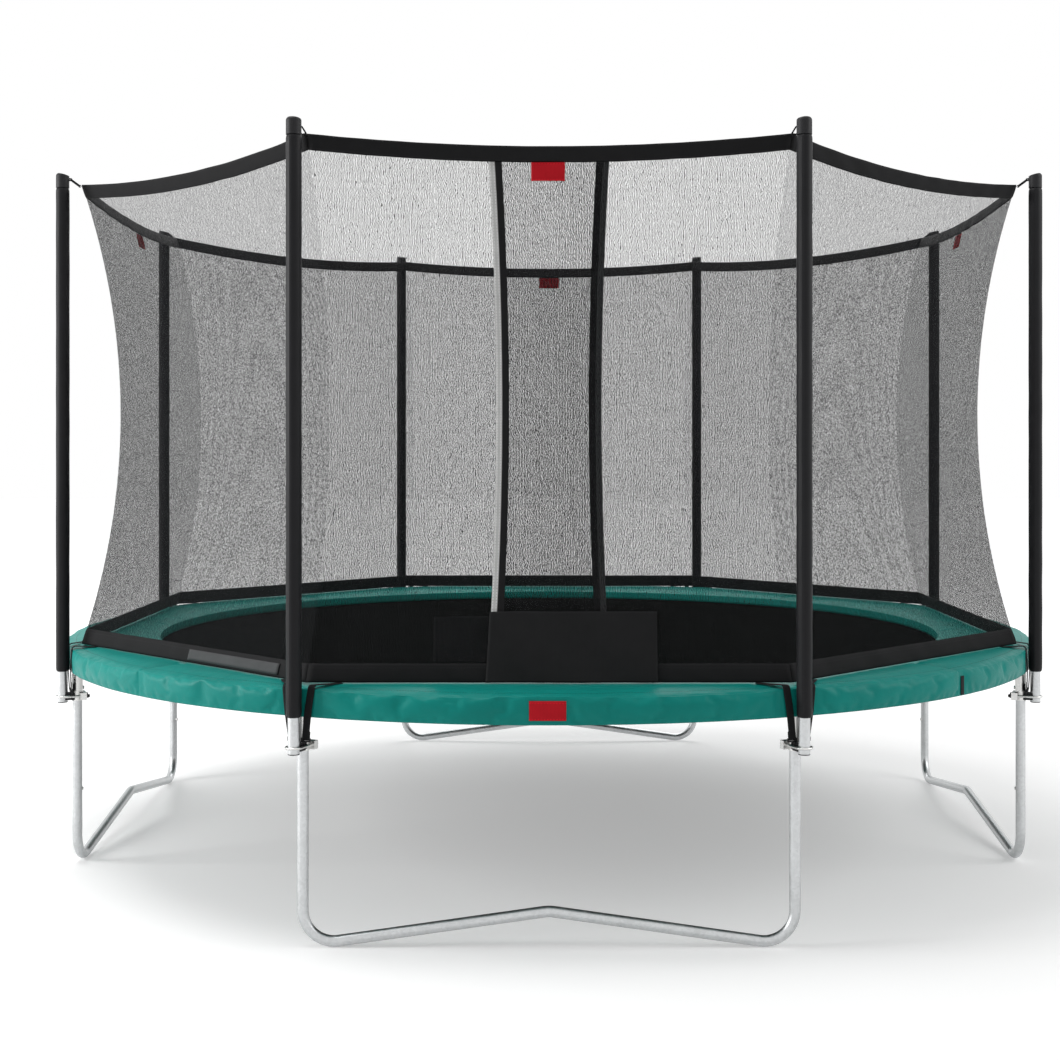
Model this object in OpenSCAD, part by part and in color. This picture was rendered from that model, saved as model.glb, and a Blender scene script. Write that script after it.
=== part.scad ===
// Garden trampoline with a round steel frame on four W shaped legs, a sprung
// jumping mat, a padded edge and a safety net that hangs from eight poles.
// Millimetres, +Z up, origin on the ground under the middle of the mat.
// The front, with the slit that lets a jumper in, faces -Y.

/* [Frame ring] */
// Outside diameter of the frame ring
frame_d = 3800; // [3500:10:4200]
// Height of the middle of the ring tube above the ground
ring_h = 749; // [700:1:900]
// Outside diameter of the ring tube
ring_tube_d = 42; // [40:1:48]
// Wall of the ring tube and of the T joints
ring_wall = 1.5; // [1.2:0.1:2]
// Length of a T joint along the ring
t_joint_l = 150; // [130:1:190]
// Length of a T joint's spigot inside the ring tube
ring_insert = 55; // [40:1:60]
// Length of a leg socket below the middle of the ring tube
socket_l = 150; // [146:1:160]
// Wall of a leg socket
socket_wall = 2.2; // [1.5:0.1:3]

/* [Legs] */
// Distance between the two uprights of a leg
leg_span = 1500; // [1400:5:1560]
// Outside diameter of the leg tube
leg_tube_d = 35; // [32:1:38]
// Wall of the leg tube
leg_wall = 1.5; // [1.2:0.1:2]
// Radius of the bend between an upright and the ground rail
leg_bend_r = 95; // [70:1:130]
// Slope of the ground rail, which rises towards its middle
rail_slope = 8; // [4:0.5:12]
// Radius of the bend at the middle of the ground rail
rail_peak_r = 100; // [60:5:200]
// Height of the joint between the bent base and an upright
leg_joint_h = 255; // [220:5:320]
// Length of the spigot on top of the bent base
leg_insert = 60; // [45:1:90]

/* [Net poles] */
// Height of the top of the pole caps
total_h = 2520; // [2400:10:2700]
// Outside diameter of a pole
pole_d = 36; // [32:1:38]
// Wall of a pole
pole_wall = 1.5; // [1.2:0.1:2]
// Length of bare pole below the foam sleeve
pole_bare_l = 113; // [90:1:130]
// Outside diameter of the foam sleeve
sleeve_d = 52; // [46:1:60]
// Outside diameter of a pole cap
cap_d = 47; // [42:1:52]
// Height of a pole cap at its tall outer side
cap_h = 54; // [48:1:70]
// Slant of the top of a pole cap
cap_slant = 14; // [0:1:18]
// Rod diameter of a U bolt
bolt_d = 8; // [6:1:10]
// Height of a pole clamp
clamp_h = 26; // [20:1:30]
// Height of the middle of a clamp above the lower end of its pole
clamp_up = 21; // [17:1:26]

/* [Springs and mat] */
// Number of springs
spring_count = 80; // [64:8:96]
// Length of a spring from the ring tube to its D ring
spring_l = 215; // [180:5:240]
// Outside diameter of a spring
spring_d = 28; // [22:1:32]
// Wire diameter of a spring
spring_wire = 3.5; // [3:0.1:4]
// Wire diameter of a D ring
d_wire = 4; // [3:0.5:5]
// Radius of the bow of a D ring
d_ring_r = 20; // [16:1:28]
// Thickness of the jumping mat
mat_t = 2; // [1.5:0.5:4]
// Width of the folded hem round the mat
hem_w = 62; // [45:1:80]
// Thickness of the folded hem
hem_t = 8; // [7.5:0.5:10]

/* [Edge pad] */
// Width of the pad
pad_w = 347; // [300:1:360]
// Thickness of the pad
pad_t = 30; // [24:1:45]
// Radius of the pad's upper edges
pad_edge_r = 12; // [6:1:20]
// Height of the skirt that hangs below the pad
skirt_h = 65; // [40:1:80]
// Thickness of the skirt
skirt_t = 2.6; // [1.5:0.1:4]

/* [Safety net] */
// Distance from the middle of the trampoline to a top corner of the net
net_corner_r = 1863; // [1800:1:1868]
// How far a corner line of the net draws in at half height
net_draw_in = 138; // [60:1:180]
// Thickness of the net
net_t = 3; // [2:0.5:4]
// Height of the top corners of the net below the tops of the pole caps
net_top_drop = 38; // [30:1:60]
// Height of the top band
top_band_h = 48; // [35:1:70]
// Sag of the top band in the middle of a side
top_band_sag = 37; // [10:1:60]
// Height of the bottom band
bottom_band_h = 56; // [40:1:80]
// Thickness of both bands
band_t = 4; // [3:0.5:5]
// Diameter of the elastic cord at the top corners
tie_d = 5; // [3:0.5:6]
// Width of the straps that hold the bottom band down
strap_w = 25; // [18:1:28]
// Thickness of those straps
strap_t = 2; // [1.5:0.5:3]

/* [Entrance] */
// Distance from the middle of the front to the seam of each flap
door_seam = 350; // [300:5:450]
// Distance from the middle of the front to the free edge of each flap
door_edge = 190; // [120:5:260]
// How far a free edge bows back at half height
door_bow = 25; // [5:1:50]
// Width of the webbing along a free edge
door_edge_w = 39; // [25:1:50]
// Lap of a flap over the fixed net at its seam
door_lap = 20; // [10:1:40]
// Height of the plain panel at the foot of the outer flap
panel_h = 213; // [120:1:300]

/* [Hidden] */
// Clearance of a tube in the tube that takes it
slip = 0.3;
// Clearance between pieces that lie against each other
seat = 0.3;
// Gap between two sections of the pad
pad_seam = 0.4;
// Gap between the skirt and a foam sleeve
sleeve_gap = 2;
// Solid stop above the leg in its socket
stop_t = 4;
// Length of the shoulder where a tube narrows to its spigot
shoulder_l = 2;
// How much thinner a leg tube is in its bends, outside and in the bore
bend_loss = 0.6;
// How far a cut runs on past a face
overcut = 1;
// How far a straight of a leg runs on into a bend
bend_reach = 2;

// Ring and legs
ring_r = frame_d / 2 - ring_tube_d / 2;
ring_bore_d = ring_tube_d - 2 * ring_wall;
ring_spigot_d = ring_bore_d - 2 * slip;
spigot_bore_d = ring_spigot_d - 2 * ring_wall;
leg_bore_d = leg_tube_d - 2 * leg_wall;
leg_spigot_d = leg_bore_d - 2 * slip;
socket_bore_d = leg_tube_d + 2 * slip;
socket_d = socket_bore_d + 2 * socket_wall;
leg_top_h = ring_h - ring_tube_d / 2 - stop_t - seat;
leg_half_a = asin(leg_span / 2 / ring_r);
leg_plane = ring_r * cos(leg_half_a);
t_joint_a = t_joint_l / 2 / ring_r * 180 / PI;
insert_a = ring_insert / ring_r * 180 / PI;
seat_a = seat / ring_r * 180 / PI;

// Screws that lock the legs
screw_d = 5.5;
screw_head_d = 12;
screw_head_h = 3.5;
screw_l = 14;
screw_up = 45;
socket_screw_h = ring_h - socket_l + screw_up;
joint_screw_h = leg_joint_h + leg_insert / 3;

// Edge pad
pad_bottom = ring_h + ring_tube_d / 2 + seat;
pad_top = pad_bottom + pad_t;
skirt_ri = frame_d / 2 + seat;
pad_ro = skirt_ri + skirt_t;
pad_ri = pad_ro - pad_w;
skirt_bottom = pad_bottom - skirt_h;

// Poles
pole_r = pad_ro + sleeve_gap + sleeve_d / 2;
sleeve_bottom = skirt_bottom + sleeve_gap;
pole_bottom = sleeve_bottom - pole_bare_l;
cap_bottom = total_h - cap_h;
cap_roof = 20;
pole_top = total_h - cap_roof - cap_d * tan(cap_slant) / 2;
plug_t = 3;
plug_l = 22;
clamp_mid = pole_bottom + clamp_up;
bolt_half = max(socket_d, pole_d) / 2 + seat + bolt_d / 2;
bolt_x = pole_r + pole_d / 2 + seat + bolt_d / 2 - bolt_half;
spacer_w = 34;
nut_width_share = 1.62;
nut_height_share = 0.8;
nut_cap_share = 0.45;
bar_t = 9;
bar_x = ring_r - socket_d / 2 - bar_t;
bar_w = 2 * bolt_half + 3 * bolt_d;
nut_af = nut_width_share * bolt_d;
nut_h = nut_height_share * bolt_d;
nut_cap_r = nut_cap_share * nut_af;
nut_cap_h = 6;
bolt_past = 3;
bolt_end_x = bar_x - nut_h - bolt_past;

// Hook of a pole cap and the loop of elastic cord in it
hook_w = 6;
hook_reach = 5;
hook_up = 32;
hook_h = cap_bottom + hook_up;
tab_w = 6;
tab_wall = 2;
tie_bend_share = 1.7;
tie_bend_r = tie_bend_share * tie_d;
eye_r = tie_d / 2 + tie_bend_r - sqrt(tie_bend_r * tie_bend_r - hook_w * hook_w / 4) + slip;
tab_x = net_corner_r + band_t / 2 + seat + eye_r + tab_wall;
tab_drop = 6;
tab_h = total_h - net_top_drop - tab_drop;

// Straps from the bottom band, and the flat hooks on the U bolts that they end in
strap_run = 110;
strap_spread = 6;
strap_y = sleeve_d / 2 + strap_w / 2 + strap_spread;
strap_x = pad_ro + seat + strap_t / 2;
strap_tail_l = 24;
strap_hook_t = 3;
strap_hook_x = strap_x - strap_t / 2 - slip - strap_hook_t / 2;
strap_bar_h = 4;
strap_eye_r = bolt_d / 2 + slip;
strap_eye_wall = 2.5;
strap_stem_w = 6;
strap_stem_l = clamp_h / 2 + 2 * seat;
slot_h = strap_hook_t / 2 + strap_t + 3 * slip;
slot_top = clamp_mid + strap_stem_l + strap_bar_h + slot_h;

// Springs, D rings and hem
spring_step = 360 / spring_count;
wire_r = spring_wire / 2;
mat_hook_gap = 6;
mat_hook_r = wire_r + mat_hook_gap;
ring_hook_gap = 4;
ring_hook_r = wire_r + ring_hook_gap;
ring_wall_r = ring_r - ring_tube_d / 2;
d_tip_r = ring_wall_r - spring_l;
d_bar_r = d_tip_r - d_ring_r;
hem_pocket = d_wire / 2 + slip;
hem_fold = 3;
hem_ro = d_bar_r + hem_pocket + hem_fold;
mat_r = hem_ro - hem_w - seat;
slit_in = sqrt(pow(d_ring_r - d_wire / 2, 2) - pow(hem_pocket + hem_fold, 2)) - slip;
slit_out = d_ring_r + d_wire / 2 + slip;
spring_tip_l = 14;
hook_bite = 0.5;
spring_foot_r = d_tip_r - d_wire / 2 - seat + sqrt(pow(mat_hook_r - wire_r, 2) - pow(d_wire / 2, 2));
spring_stem_l = 12;
spring_head_r = ring_wall_r - spring_stem_l;
spring_hole_play = 6;
spring_hole_d = spring_wire + spring_hole_play;
spring_hole_h = ring_h + ring_hook_r + wire_r + seat - sqrt(pow(spring_hole_d / 2, 2) - pow(wire_r, 2));
ring_curl_x = ring_r - spigot_bore_d / 5;
ring_curl_end = ring_r - sqrt(pow(spigot_bore_d / 2, 2) - pow(ring_hook_r + wire_r, 2)) + seat;

// Safety net
net_foot = pad_top + seat + strap_t + seat;
net_head = total_h - net_top_drop;
net_mid = (net_foot + net_head) / 2;
net_span = net_head - net_foot;
bottom_band_top = net_foot + bottom_band_h;
door_offset = net_t + seat;
panel_t = 2;
panel_offset = door_offset + net_t / 2 + seat + panel_t / 2;
flap_gap = 0.5;
inner_panel_foot = bottom_band_top + 2 * flap_gap;
inner_panel_drop = 18;
top_steps = 24;
past_corner = 1.02;

NUMBERS8 = [for (n = [1:8]) n];
$fn = 48;
// Facets of the large circles
ring_fn = 240;

// Posts run anticlockwise from the front left one, and side i joins post i to the next one
function post_angle(i) = -90 + 90 * floor(i / 2) + (i % 2 == 0 ? -1 : 1) * leg_half_a;
function side_angle(i) = -90 + 45 * i;
function side_half(i) = i % 2 == 0 ? leg_half_a : 45 - leg_half_a;
function spring_angle(j) = (j + 0.5) * spring_step;
function turn_between(a, b) = (a - b) - 360 * round((a - b) / 360);

// Circle through the ends and the middle of an arc
function arc_radius(half_chord, rise) = (half_chord * half_chord + rise * rise) / (2 * rise);

module at_post(i, r, z) rotate([0, 0, post_angle(i)]) translate([r, 0, z]) children();
module at_posts(r, z) for (i = [0:7]) at_post(i, r, z) children();
module at_springs() for (j = [0:spring_count - 1]) rotate([0, 0, spring_angle(j)]) children();

// Rod from the origin along +X
module rod(d, l) rotate([0, 90, 0]) cylinder(d = d, h = l);
module annulus(d, bore) {
    difference() {
        circle(d = d);
        circle(d = bore);
    }
}

// Arc of rod about the Z axis, from angle a0 to a1
module rod_arc(bend_r, a0, a1, d) {
    rotate([0, 0, a0]) rotate_extrude(angle = a1 - a0) translate([bend_r, 0]) circle(d = d);
}

// Holes for the spring hooks between two angles about the middle of a stretch of ring
module spring_holes(mid, half) {
    for (j = [0:spring_count - 1])
        if (abs(turn_between(spring_angle(j), mid)) < half)
            rotate([0, 0, spring_angle(j)])
                translate([ring_wall_r - ring_wall, 0, spring_hole_h])
                    rod(spring_hole_d, ring_tube_d / 3);
}

// Locking screw hole, driven from the inner side of a leg
module screw_hole(i, z) at_post(i, ring_r, z) rotate([0, 0, 180]) rod(screw_d + slip, socket_d);

module ring_tube(i) {
    mid = side_angle(i);
    half = side_half(i) - t_joint_a - seat_a;
    color("gainsboro") difference() {
        translate([0, 0, ring_h]) rotate([0, 0, mid - half])
            rotate_extrude(angle = 2 * half, $fn = ring_fn)
                translate([ring_r, 0]) annulus(ring_tube_d, ring_bore_d);
        spring_holes(mid, half);
    }
}

// Arc of solid rod along the ring, to both sides of post i
module ring_arc(i, half, d) {
    translate([0, 0, ring_h]) rotate([0, 0, post_angle(i) - half])
        rotate_extrude(angle = 2 * half, $fn = ring_fn) translate([ring_r, 0]) circle(d = d);
}

// Joint with a spigot for the ring tube at each side and a socket for a leg below
module t_joint(i) {
    color("silver") difference() {
        union() {
            ring_arc(i, t_joint_a, ring_tube_d);
            ring_arc(i, t_joint_a + insert_a, ring_spigot_d);
            at_post(i, ring_r, ring_h - socket_l) cylinder(d = socket_d, h = socket_l);
        }
        ring_arc(i, t_joint_a + 2 * insert_a, spigot_bore_d);
        at_post(i, ring_r, ring_h - 2 * socket_l)
            cylinder(d = socket_bore_d, h = 2 * socket_l - ring_tube_d / 2 - stop_t);
        spring_holes(post_angle(i), t_joint_a + insert_a);
        screw_hole(i, socket_screw_h);
    }
}

module leg_upright(i) {
    color("gainsboro") difference() {
        at_post(i, ring_r, leg_joint_h)
            linear_extrude(leg_top_h - leg_joint_h) annulus(leg_tube_d, leg_bore_d);
        screw_hole(i, socket_screw_h);
        screw_hole(i, joint_screw_h);
    }
}

// Path of a leg's bent base as a solid rod, in the upright plane of the leg, to a height h
module leg_path(d, h) {
    bend_d = d - bend_loss;
    bend_h = leg_bend_r + leg_tube_d / 2;
    half = leg_span / 2;
    rail_x = half - leg_bend_r * (1 + sin(rail_slope));
    rail_z = bend_h - leg_bend_r * cos(rail_slope);
    rail_l = (rail_x - rail_peak_r * sin(rail_slope)) / cos(rail_slope);
    peak_z = rail_z + rail_l * sin(rail_slope) + rail_peak_r * (1 - cos(rail_slope));
    translate([0, peak_z - rail_peak_r]) rod_arc(rail_peak_r, 90 - rail_slope, 90 + rail_slope, bend_d);
    for (s = [0, 1]) mirror([s, 0, 0]) {
        translate([rail_x, rail_z]) rotate([0, 0, 180 - rail_slope])
            translate([-bend_reach, 0, 0]) rod(d, rail_l + 2 * bend_reach);
        translate([half - leg_bend_r, bend_h]) rod_arc(leg_bend_r, -90 - rail_slope, 0, bend_d);
        translate([half, bend_h - bend_reach]) rotate([0, 0, 90]) rod(d, h - bend_h + bend_reach);
    }
}

// Rods along the uprights of a leg, from height h0 to h1
module leg_spigots(d, h0, h1) {
    for (s = [-1, 1]) translate([s * leg_span / 2, h0]) rotate([0, 0, 90]) rod(d, h1 - h0);
}

// Bent base of leg k with a spigot for each upright
module leg_base(k) {
    top = leg_joint_h + leg_insert;
    color("gainsboro") difference() {
        rotate([0, 0, 90 * k - 90]) translate([leg_plane, 0, 0]) rotate([90, 0, 90]) difference() {
            union() {
                leg_path(leg_tube_d, leg_joint_h);
                leg_spigots(leg_spigot_d, leg_joint_h - shoulder_l, top);
            }
            leg_path(leg_bore_d, leg_joint_h - shoulder_l);
            leg_spigots(leg_spigot_d - 2 * leg_wall, leg_joint_h - 2 * shoulder_l, top + shoulder_l);
        }
        for (i = [2 * k, 2 * k + 1]) screw_hole(i, joint_screw_h);
    }
}

module net_pole(i) {
    color("gainsboro") at_post(i, pole_r, pole_bottom + plug_t)
        linear_extrude(pole_top - pole_bottom - plug_t) annulus(pole_d, pole_d - 2 * pole_wall);
}

module pole_sleeves() {
    color("#1c1c1e") at_posts(pole_r, sleeve_bottom)
        linear_extrude(cap_bottom - sleeve_bottom) annulus(sleeve_d, pole_d + 2 * slip);
}

// Cap with a rounded, slanted top, and a hook on its inner side for the elastic cord
module pole_caps() {
    edge = cap_d / 4;
    color("#202022") at_posts(pole_r, 0) difference() {
        union() {
            translate([0, 0, cap_bottom]) rotate_extrude() {
                square([cap_d / 2, cap_h - edge]);
                square([cap_d / 2 - edge, cap_h]);
                translate([cap_d / 2 - edge, cap_h - edge]) intersection() {
                    circle(r = edge);
                    square(edge);
                }
            }
            translate([0, hook_w / 2, 0]) rotate([90, 0, 0]) linear_extrude(hook_w)
                cap_hook();
        }
        translate([0, 0, cap_bottom - overcut])
            cylinder(d = pole_d + 2 * slip, h = pole_top + seat - cap_bottom + overcut);
        translate([cap_d / 2, 0, total_h]) rotate([0, -cap_slant, 0])
            translate([-2 * cap_d, -cap_d, 0]) cube([3 * cap_d, 2 * cap_d, cap_d]);
    }
}

// Outline of the hook, seen along the ring, with the hole that the cord goes through
module cap_hook() {
    x = -cap_d / 2 - hook_reach;
    hook_r = eye_r + tab_wall;
    difference() {
        union() {
            translate([x, hook_h]) circle(r = hook_r);
            translate([x, hook_h - hook_r]) square([2 * hook_reach, 2 * hook_r]);
        }
        translate([x, hook_h]) circle(r = eye_r);
    }
}

module pole_end_plugs() {
    color("#202022") at_posts(pole_r, pole_bottom) {
        cylinder(d = pole_d, h = plug_t);
        cylinder(d = pole_d - 2 * pole_wall - 2 * slip, h = plug_l);
    }
}

module clamp_u_bolts() {
    color("silver") at_posts(0, clamp_mid) {
        translate([bolt_x, 0, 0]) rod_arc(bolt_half, -90, 90, bolt_d);
        for (s = [-1, 1]) translate([bolt_end_x, s * bolt_half, 0]) rod(bolt_d, bolt_x - bolt_end_x);
    }
}

// Block that fills the gap between a leg socket and its pole
module clamp_spacers() {
    color("#202022") at_posts(0, clamp_mid - clamp_h / 2) linear_extrude(clamp_h) difference() {
        translate([ring_r, -spacer_w / 2]) square([pole_r - ring_r, spacer_w]);
        translate([ring_r, 0]) circle(d = socket_d + 2 * seat);
        translate([pole_r, 0]) circle(d = pole_d + 2 * seat);
    }
}

// Bar with a hollow for the leg socket and two holes for the U bolt
module clamp_bars() {
    color("silver") at_posts(0, clamp_mid) difference() {
        translate([0, 0, -clamp_h / 2]) linear_extrude(clamp_h) difference() {
            translate([bar_x, -bar_w / 2]) square([socket_d / 3 + bar_t, bar_w]);
            translate([ring_r, 0]) circle(d = socket_d + 2 * seat);
        }
        for (s = [-1, 1]) translate([bar_x - overcut, s * bolt_half, 0]) rod(bolt_d + 2 * slip, socket_d);
    }
}

// Hexagon nuts with a round cap over the end of the rod
module clamp_nuts() {
    color("#202022") at_posts(0, clamp_mid) for (s = [-1, 1]) translate([bar_x, s * bolt_half, 0])
        rotate([0, -90, 0]) difference() {
            union() {
                cylinder(d = nut_af / cos(30), h = nut_h, $fn = 6);
                rotate_extrude() intersection() {
                    square([nut_cap_r, nut_h + nut_cap_h]);
                    translate([0, nut_h + nut_cap_h - 2 * nut_cap_r]) circle(r = 2 * nut_cap_r);
                }
            }
            translate([0, 0, -overcut]) cylinder(d = bolt_d + slip, h = bar_x - bolt_end_x + overcut + seat);
        }
}

// Screws in the leg sockets and in the joints of the legs
module leg_screws() {
    color("silver") for (i = [0:7]) {
        one_screw(i, socket_screw_h, socket_d / 2);
        one_screw(i, joint_screw_h, leg_tube_d / 2);
    }
}
module one_screw(i, z, face_r) {
    at_post(i, ring_r - face_r - seat, z) {
        rod(screw_d, screw_l);
        rotate([0, 0, 180]) rod(screw_head_d, screw_head_h);
    }
}

// Closed coil that tapers at both ends, with a hook round the D ring and a hook that goes
// through the ring tube and curls back behind its wall
module springs() {
    coil_l = spring_head_r - spring_foot_r;
    body_r = spring_d / 2;
    body_in = body_r - spring_wire;
    foot = [mat_hook_r - wire_r - slip, mat_hook_r + wire_r + slip];
    head = [ring_hook_r - wire_r - slip, ring_hook_r + wire_r + slip];
    color("lightgray") at_springs() translate([spring_foot_r, 0, ring_h]) {
        rotate([0, 90, 0]) rotate_extrude()
            polygon([[foot[0], 0], [foot[1], 0], [body_r, spring_tip_l], [body_r, coil_l - spring_tip_l],
                     [head[1], coil_l], [head[0], coil_l], [body_in, coil_l - spring_tip_l],
                     [body_in, spring_tip_l]]);
        translate([0, wire_r, 0]) rotate([90, 0, 0]) linear_extrude(spring_wire) mat_hook();
        translate([-spring_foot_r, wire_r, 0]) rotate([90, 0, 0]) linear_extrude(spring_wire) ring_hook();
    }
}

// Outlines of the two hooks of a spring, seen along the ring
module mat_hook() {
    box = 2 * mat_hook_r;
    intersection() {
        annulus(2 * mat_hook_r + spring_wire, 2 * mat_hook_r - spring_wire);
        union() {
            translate([-box, 0]) square([box + hook_bite, box]);
            translate([-box, -box]) square([box - spring_wire, box]);
        }
    }
}
module ring_hook() {
    box = 2 * ring_hook_r;
    translate([spring_head_r - hook_bite, ring_hook_r - wire_r])
        square([ring_curl_x - spring_head_r + hook_bite, spring_wire]);
    translate([ring_curl_end, -ring_hook_r - wire_r]) square([ring_curl_x - ring_curl_end, spring_wire]);
    translate([ring_curl_x, 0]) intersection() {
        annulus(2 * ring_hook_r + spring_wire, 2 * ring_hook_r - spring_wire);
        translate([0, -box]) square(2 * box);
    }
}

// Metal rings, their bars in the hem and their bows in the spring hooks
module d_rings() {
    color("lightgray") at_springs() translate([d_bar_r, 0, ring_h - d_wire / 2]) linear_extrude(d_wire)
        difference() {
            half_disc(d_ring_r + d_wire / 2, -d_wire / 2);
            half_disc(d_ring_r - d_wire / 2, d_wire / 2);
        }
}

// Part of a disc to the right of a line at x
module half_disc(r, x) {
    intersection() {
        circle(r = r);
        translate([x, -r]) square(2 * r);
    }
}

module jumping_mat() {
    color("#17181a") translate([0, 0, ring_h - mat_t / 2]) cylinder(r = mat_r, h = mat_t, $fn = ring_fn);
}

// Folded hem with a pocket for the bars of the D rings and two slits for the bow of each ring
module mat_hem() {
    color("#202022") difference() {
        translate([0, 0, ring_h]) rotate_extrude($fn = ring_fn) difference() {
            translate([mat_r + seat, -hem_t / 2]) square([hem_w, hem_t]);
            translate([d_bar_r - hem_pocket, -hem_pocket]) square(2 * hem_pocket);
        }
        at_springs() for (y = [-slit_out, slit_in])
            translate([d_bar_r, y, ring_h - hem_pocket])
                cube([hem_ro - d_bar_r + hem_fold, slit_out - slit_in, 2 * hem_pocket]);
    }
}

// Quarter k of the pad, between the sewn seams on the corners of the object
module pad_quarter(k) {
    gap = pad_seam / 2 / pad_ro * 180 / PI;
    rotate([0, 0, side_angle(2 * k) - 45 + gap])
        rotate_extrude(angle = 90 - 2 * gap, $fn = ring_fn) children();
}

module safety_pad() {
    color("#14857c") for (k = [0:3]) pad_quarter(k) {
        translate([pad_ri, pad_bottom]) square([pad_w, pad_t - pad_edge_r]);
        translate([pad_ri + pad_edge_r, pad_bottom]) square([pad_w - 2 * pad_edge_r, pad_t]);
        for (r = [pad_ri + pad_edge_r, pad_ro - pad_edge_r])
            translate([r, pad_top - pad_edge_r]) circle(r = pad_edge_r);
    }
}

module pad_skirt() {
    color("#14857c") for (k = [0:3]) pad_quarter(k)
        translate([skirt_ri, skirt_bottom]) square([skirt_t, skirt_h]);
}

// Piece of the net on side i: a sheet that draws in at half height, with mitred corners, cut to
// an outline that is drawn as seen from outside, and moved out by an offset
module net_piece(i, t, offset = 0) {
    apothem = net_corner_r * cos(side_half(i));
    draw_in = net_draw_in * cos(side_half(i));
    arc_r = arc_radius(net_span / 2, draw_in);
    reach = net_corner_r + net_draw_in;
    rotate([0, 0, side_angle(i)]) intersection() {
        rotate([90, 0, 0]) translate([0, 0, -reach]) linear_extrude(2 * reach) intersection() {
            translate([apothem - draw_in + arc_r + offset, net_mid]) difference() {
                circle(r = arc_r + t / 2, $fn = 3 * ring_fn);
                circle(r = arc_r - t / 2, $fn = 3 * ring_fn);
            }
            translate([apothem - 2 * draw_in, 0]) square([3 * draw_in, total_h]);
        }
        linear_extrude(total_h)
            polygon([[0, 0], [reach, -reach * tan(side_half(i))], [reach, reach * tan(side_half(i))]]);
        rotate([90, 0, 90]) linear_extrude(reach) children();
    }
}

// Sagging upper edge of the net on side i at a distance y from the middle of that side, and the
// places across the side where its outline has a point, a little past the corners
function top_edge(i, y) = net_head - top_band_sag * (1 - pow(y / (net_corner_r * sin(side_half(i))), 2));
function across(i) =
    [for (k = [0:top_steps]) (2 * k / top_steps - 1) * past_corner * net_corner_r * sin(side_half(i))];

// Outline between two depths below the upper edge of the net on side i
module below_top(i, from, to) {
    polygon(concat([for (y = across(i)) [y, top_edge(i, y) - from]],
                   [for (y = across(i)) [-y, top_edge(i, y) - to]]));
}

// Outline of the open net on side i, from the bottom band to the top band
module open_outline(i, gap = 0) {
    half = past_corner * net_corner_r * sin(side_half(i));
    foot = bottom_band_top + gap;
    polygon(concat([[-half, foot], [half, foot]],
                   [for (y = across(i)) [-y, top_edge(i, y) - top_band_h - gap]]));
}

module net_walls() {
    color("#3a3b3e") {
        for (i = [1:7]) net_piece(i, net_t) open_outline(i);
        for (s = [-1, 1]) net_piece(0, net_t) intersection() {
            open_outline(0);
            translate([s > 0 ? door_seam : -net_corner_r, 0]) square([net_corner_r - door_seam, total_h]);
        }
    }
}

module net_top_band() {
    color("#1c1c1e") {
        for (i = [0:7]) net_piece(i, band_t) below_top(i, 0, top_band_h);
        at_posts(tab_x, tab_h) translate([0, tab_w / 2, 0]) rotate([90, 0, 0])
            linear_extrude(tab_w) annulus(2 * (eye_r + tab_wall), 2 * eye_r);
    }
}

module net_bottom_band() {
    color("#1c1c1e") for (i = [0:7]) net_piece(i, band_t)
        translate([-net_corner_r, net_foot]) square([2 * net_corner_r, bottom_band_h]);
}

// Outline to the left of the free edge of a flap, moved back from that edge by a margin
module free_edge(margin) {
    steps = 16;
    edge = [for (k = [0:steps]) let (t = 2 * k / steps - 1)
        [-door_edge + door_bow * (1 - t * t) + margin, net_mid + t * net_span / 2]];
    polygon(concat(edge, [[-net_corner_r, net_head], [-net_corner_r, net_foot]]));
}

// Outline of a flap on the front, from its seam at the right to its free edge at the left
module flap_outline() {
    intersection() {
        open_outline(0, flap_gap);
        translate([-door_edge - door_bow, 0]) square([door_seam + door_lap + door_edge + door_bow, total_h]);
    }
}

module flap_net(offset) {
    net_piece(0, net_t, offset) difference() {
        flap_outline();
        free_edge(door_edge_w);
    }
}

module flap_edge(offset) {
    net_piece(0, band_t, offset) difference() {
        intersection() {
            flap_outline();
            free_edge(door_edge_w);
        }
        free_edge(0);
    }
}

// Plain panel at the foot of a flap
module flap_panel(offset, foot, top) {
    net_piece(0, panel_t, offset) difference() {
        translate([-door_edge, foot]) square([door_edge + door_seam, top - foot]);
        free_edge(0);
    }
}

module door_outer_net() color("#3a3b3e") flap_net(door_offset);

module door_outer_trim() {
    color("#1c1c1e") {
        flap_edge(door_offset);
        flap_panel(panel_offset, net_foot + flap_gap, net_foot + panel_h);
    }
}

module door_inner_net() color("#3a3b3e") mirror([1, 0, 0]) flap_net(-door_offset);

module door_inner_trim() {
    color("#1c1c1e") mirror([1, 0, 0]) {
        flap_edge(-door_offset);
        flap_panel(-panel_offset, inner_panel_foot, net_foot + panel_h - inner_panel_drop);
    }
}

// Loops of elastic cord from the hooks of the caps to the tabs at the corners of the top band
module top_ties() {
    hook_x = pole_r - cap_d / 2 - hook_reach;
    slope = atan2(hook_h - tab_h, hook_x - tab_x);
    loop_l = sqrt(pow(hook_h - tab_h, 2) + pow(hook_x - tab_x, 2));
    color("#101012") at_posts(tab_x, tab_h) rotate([0, -slope, 0]) {
        translate([tie_bend_r, 0, 0]) rod_arc(tie_bend_r, 90, 270, tie_d);
        translate([loop_l - tie_bend_r, 0, 0]) rod_arc(tie_bend_r, -90, 90, tie_d);
        for (s = [-1, 1]) translate([tie_bend_r, s * tie_bend_r, 0]) rod(tie_d, loop_l - 2 * tie_bend_r);
    }
}

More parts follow.
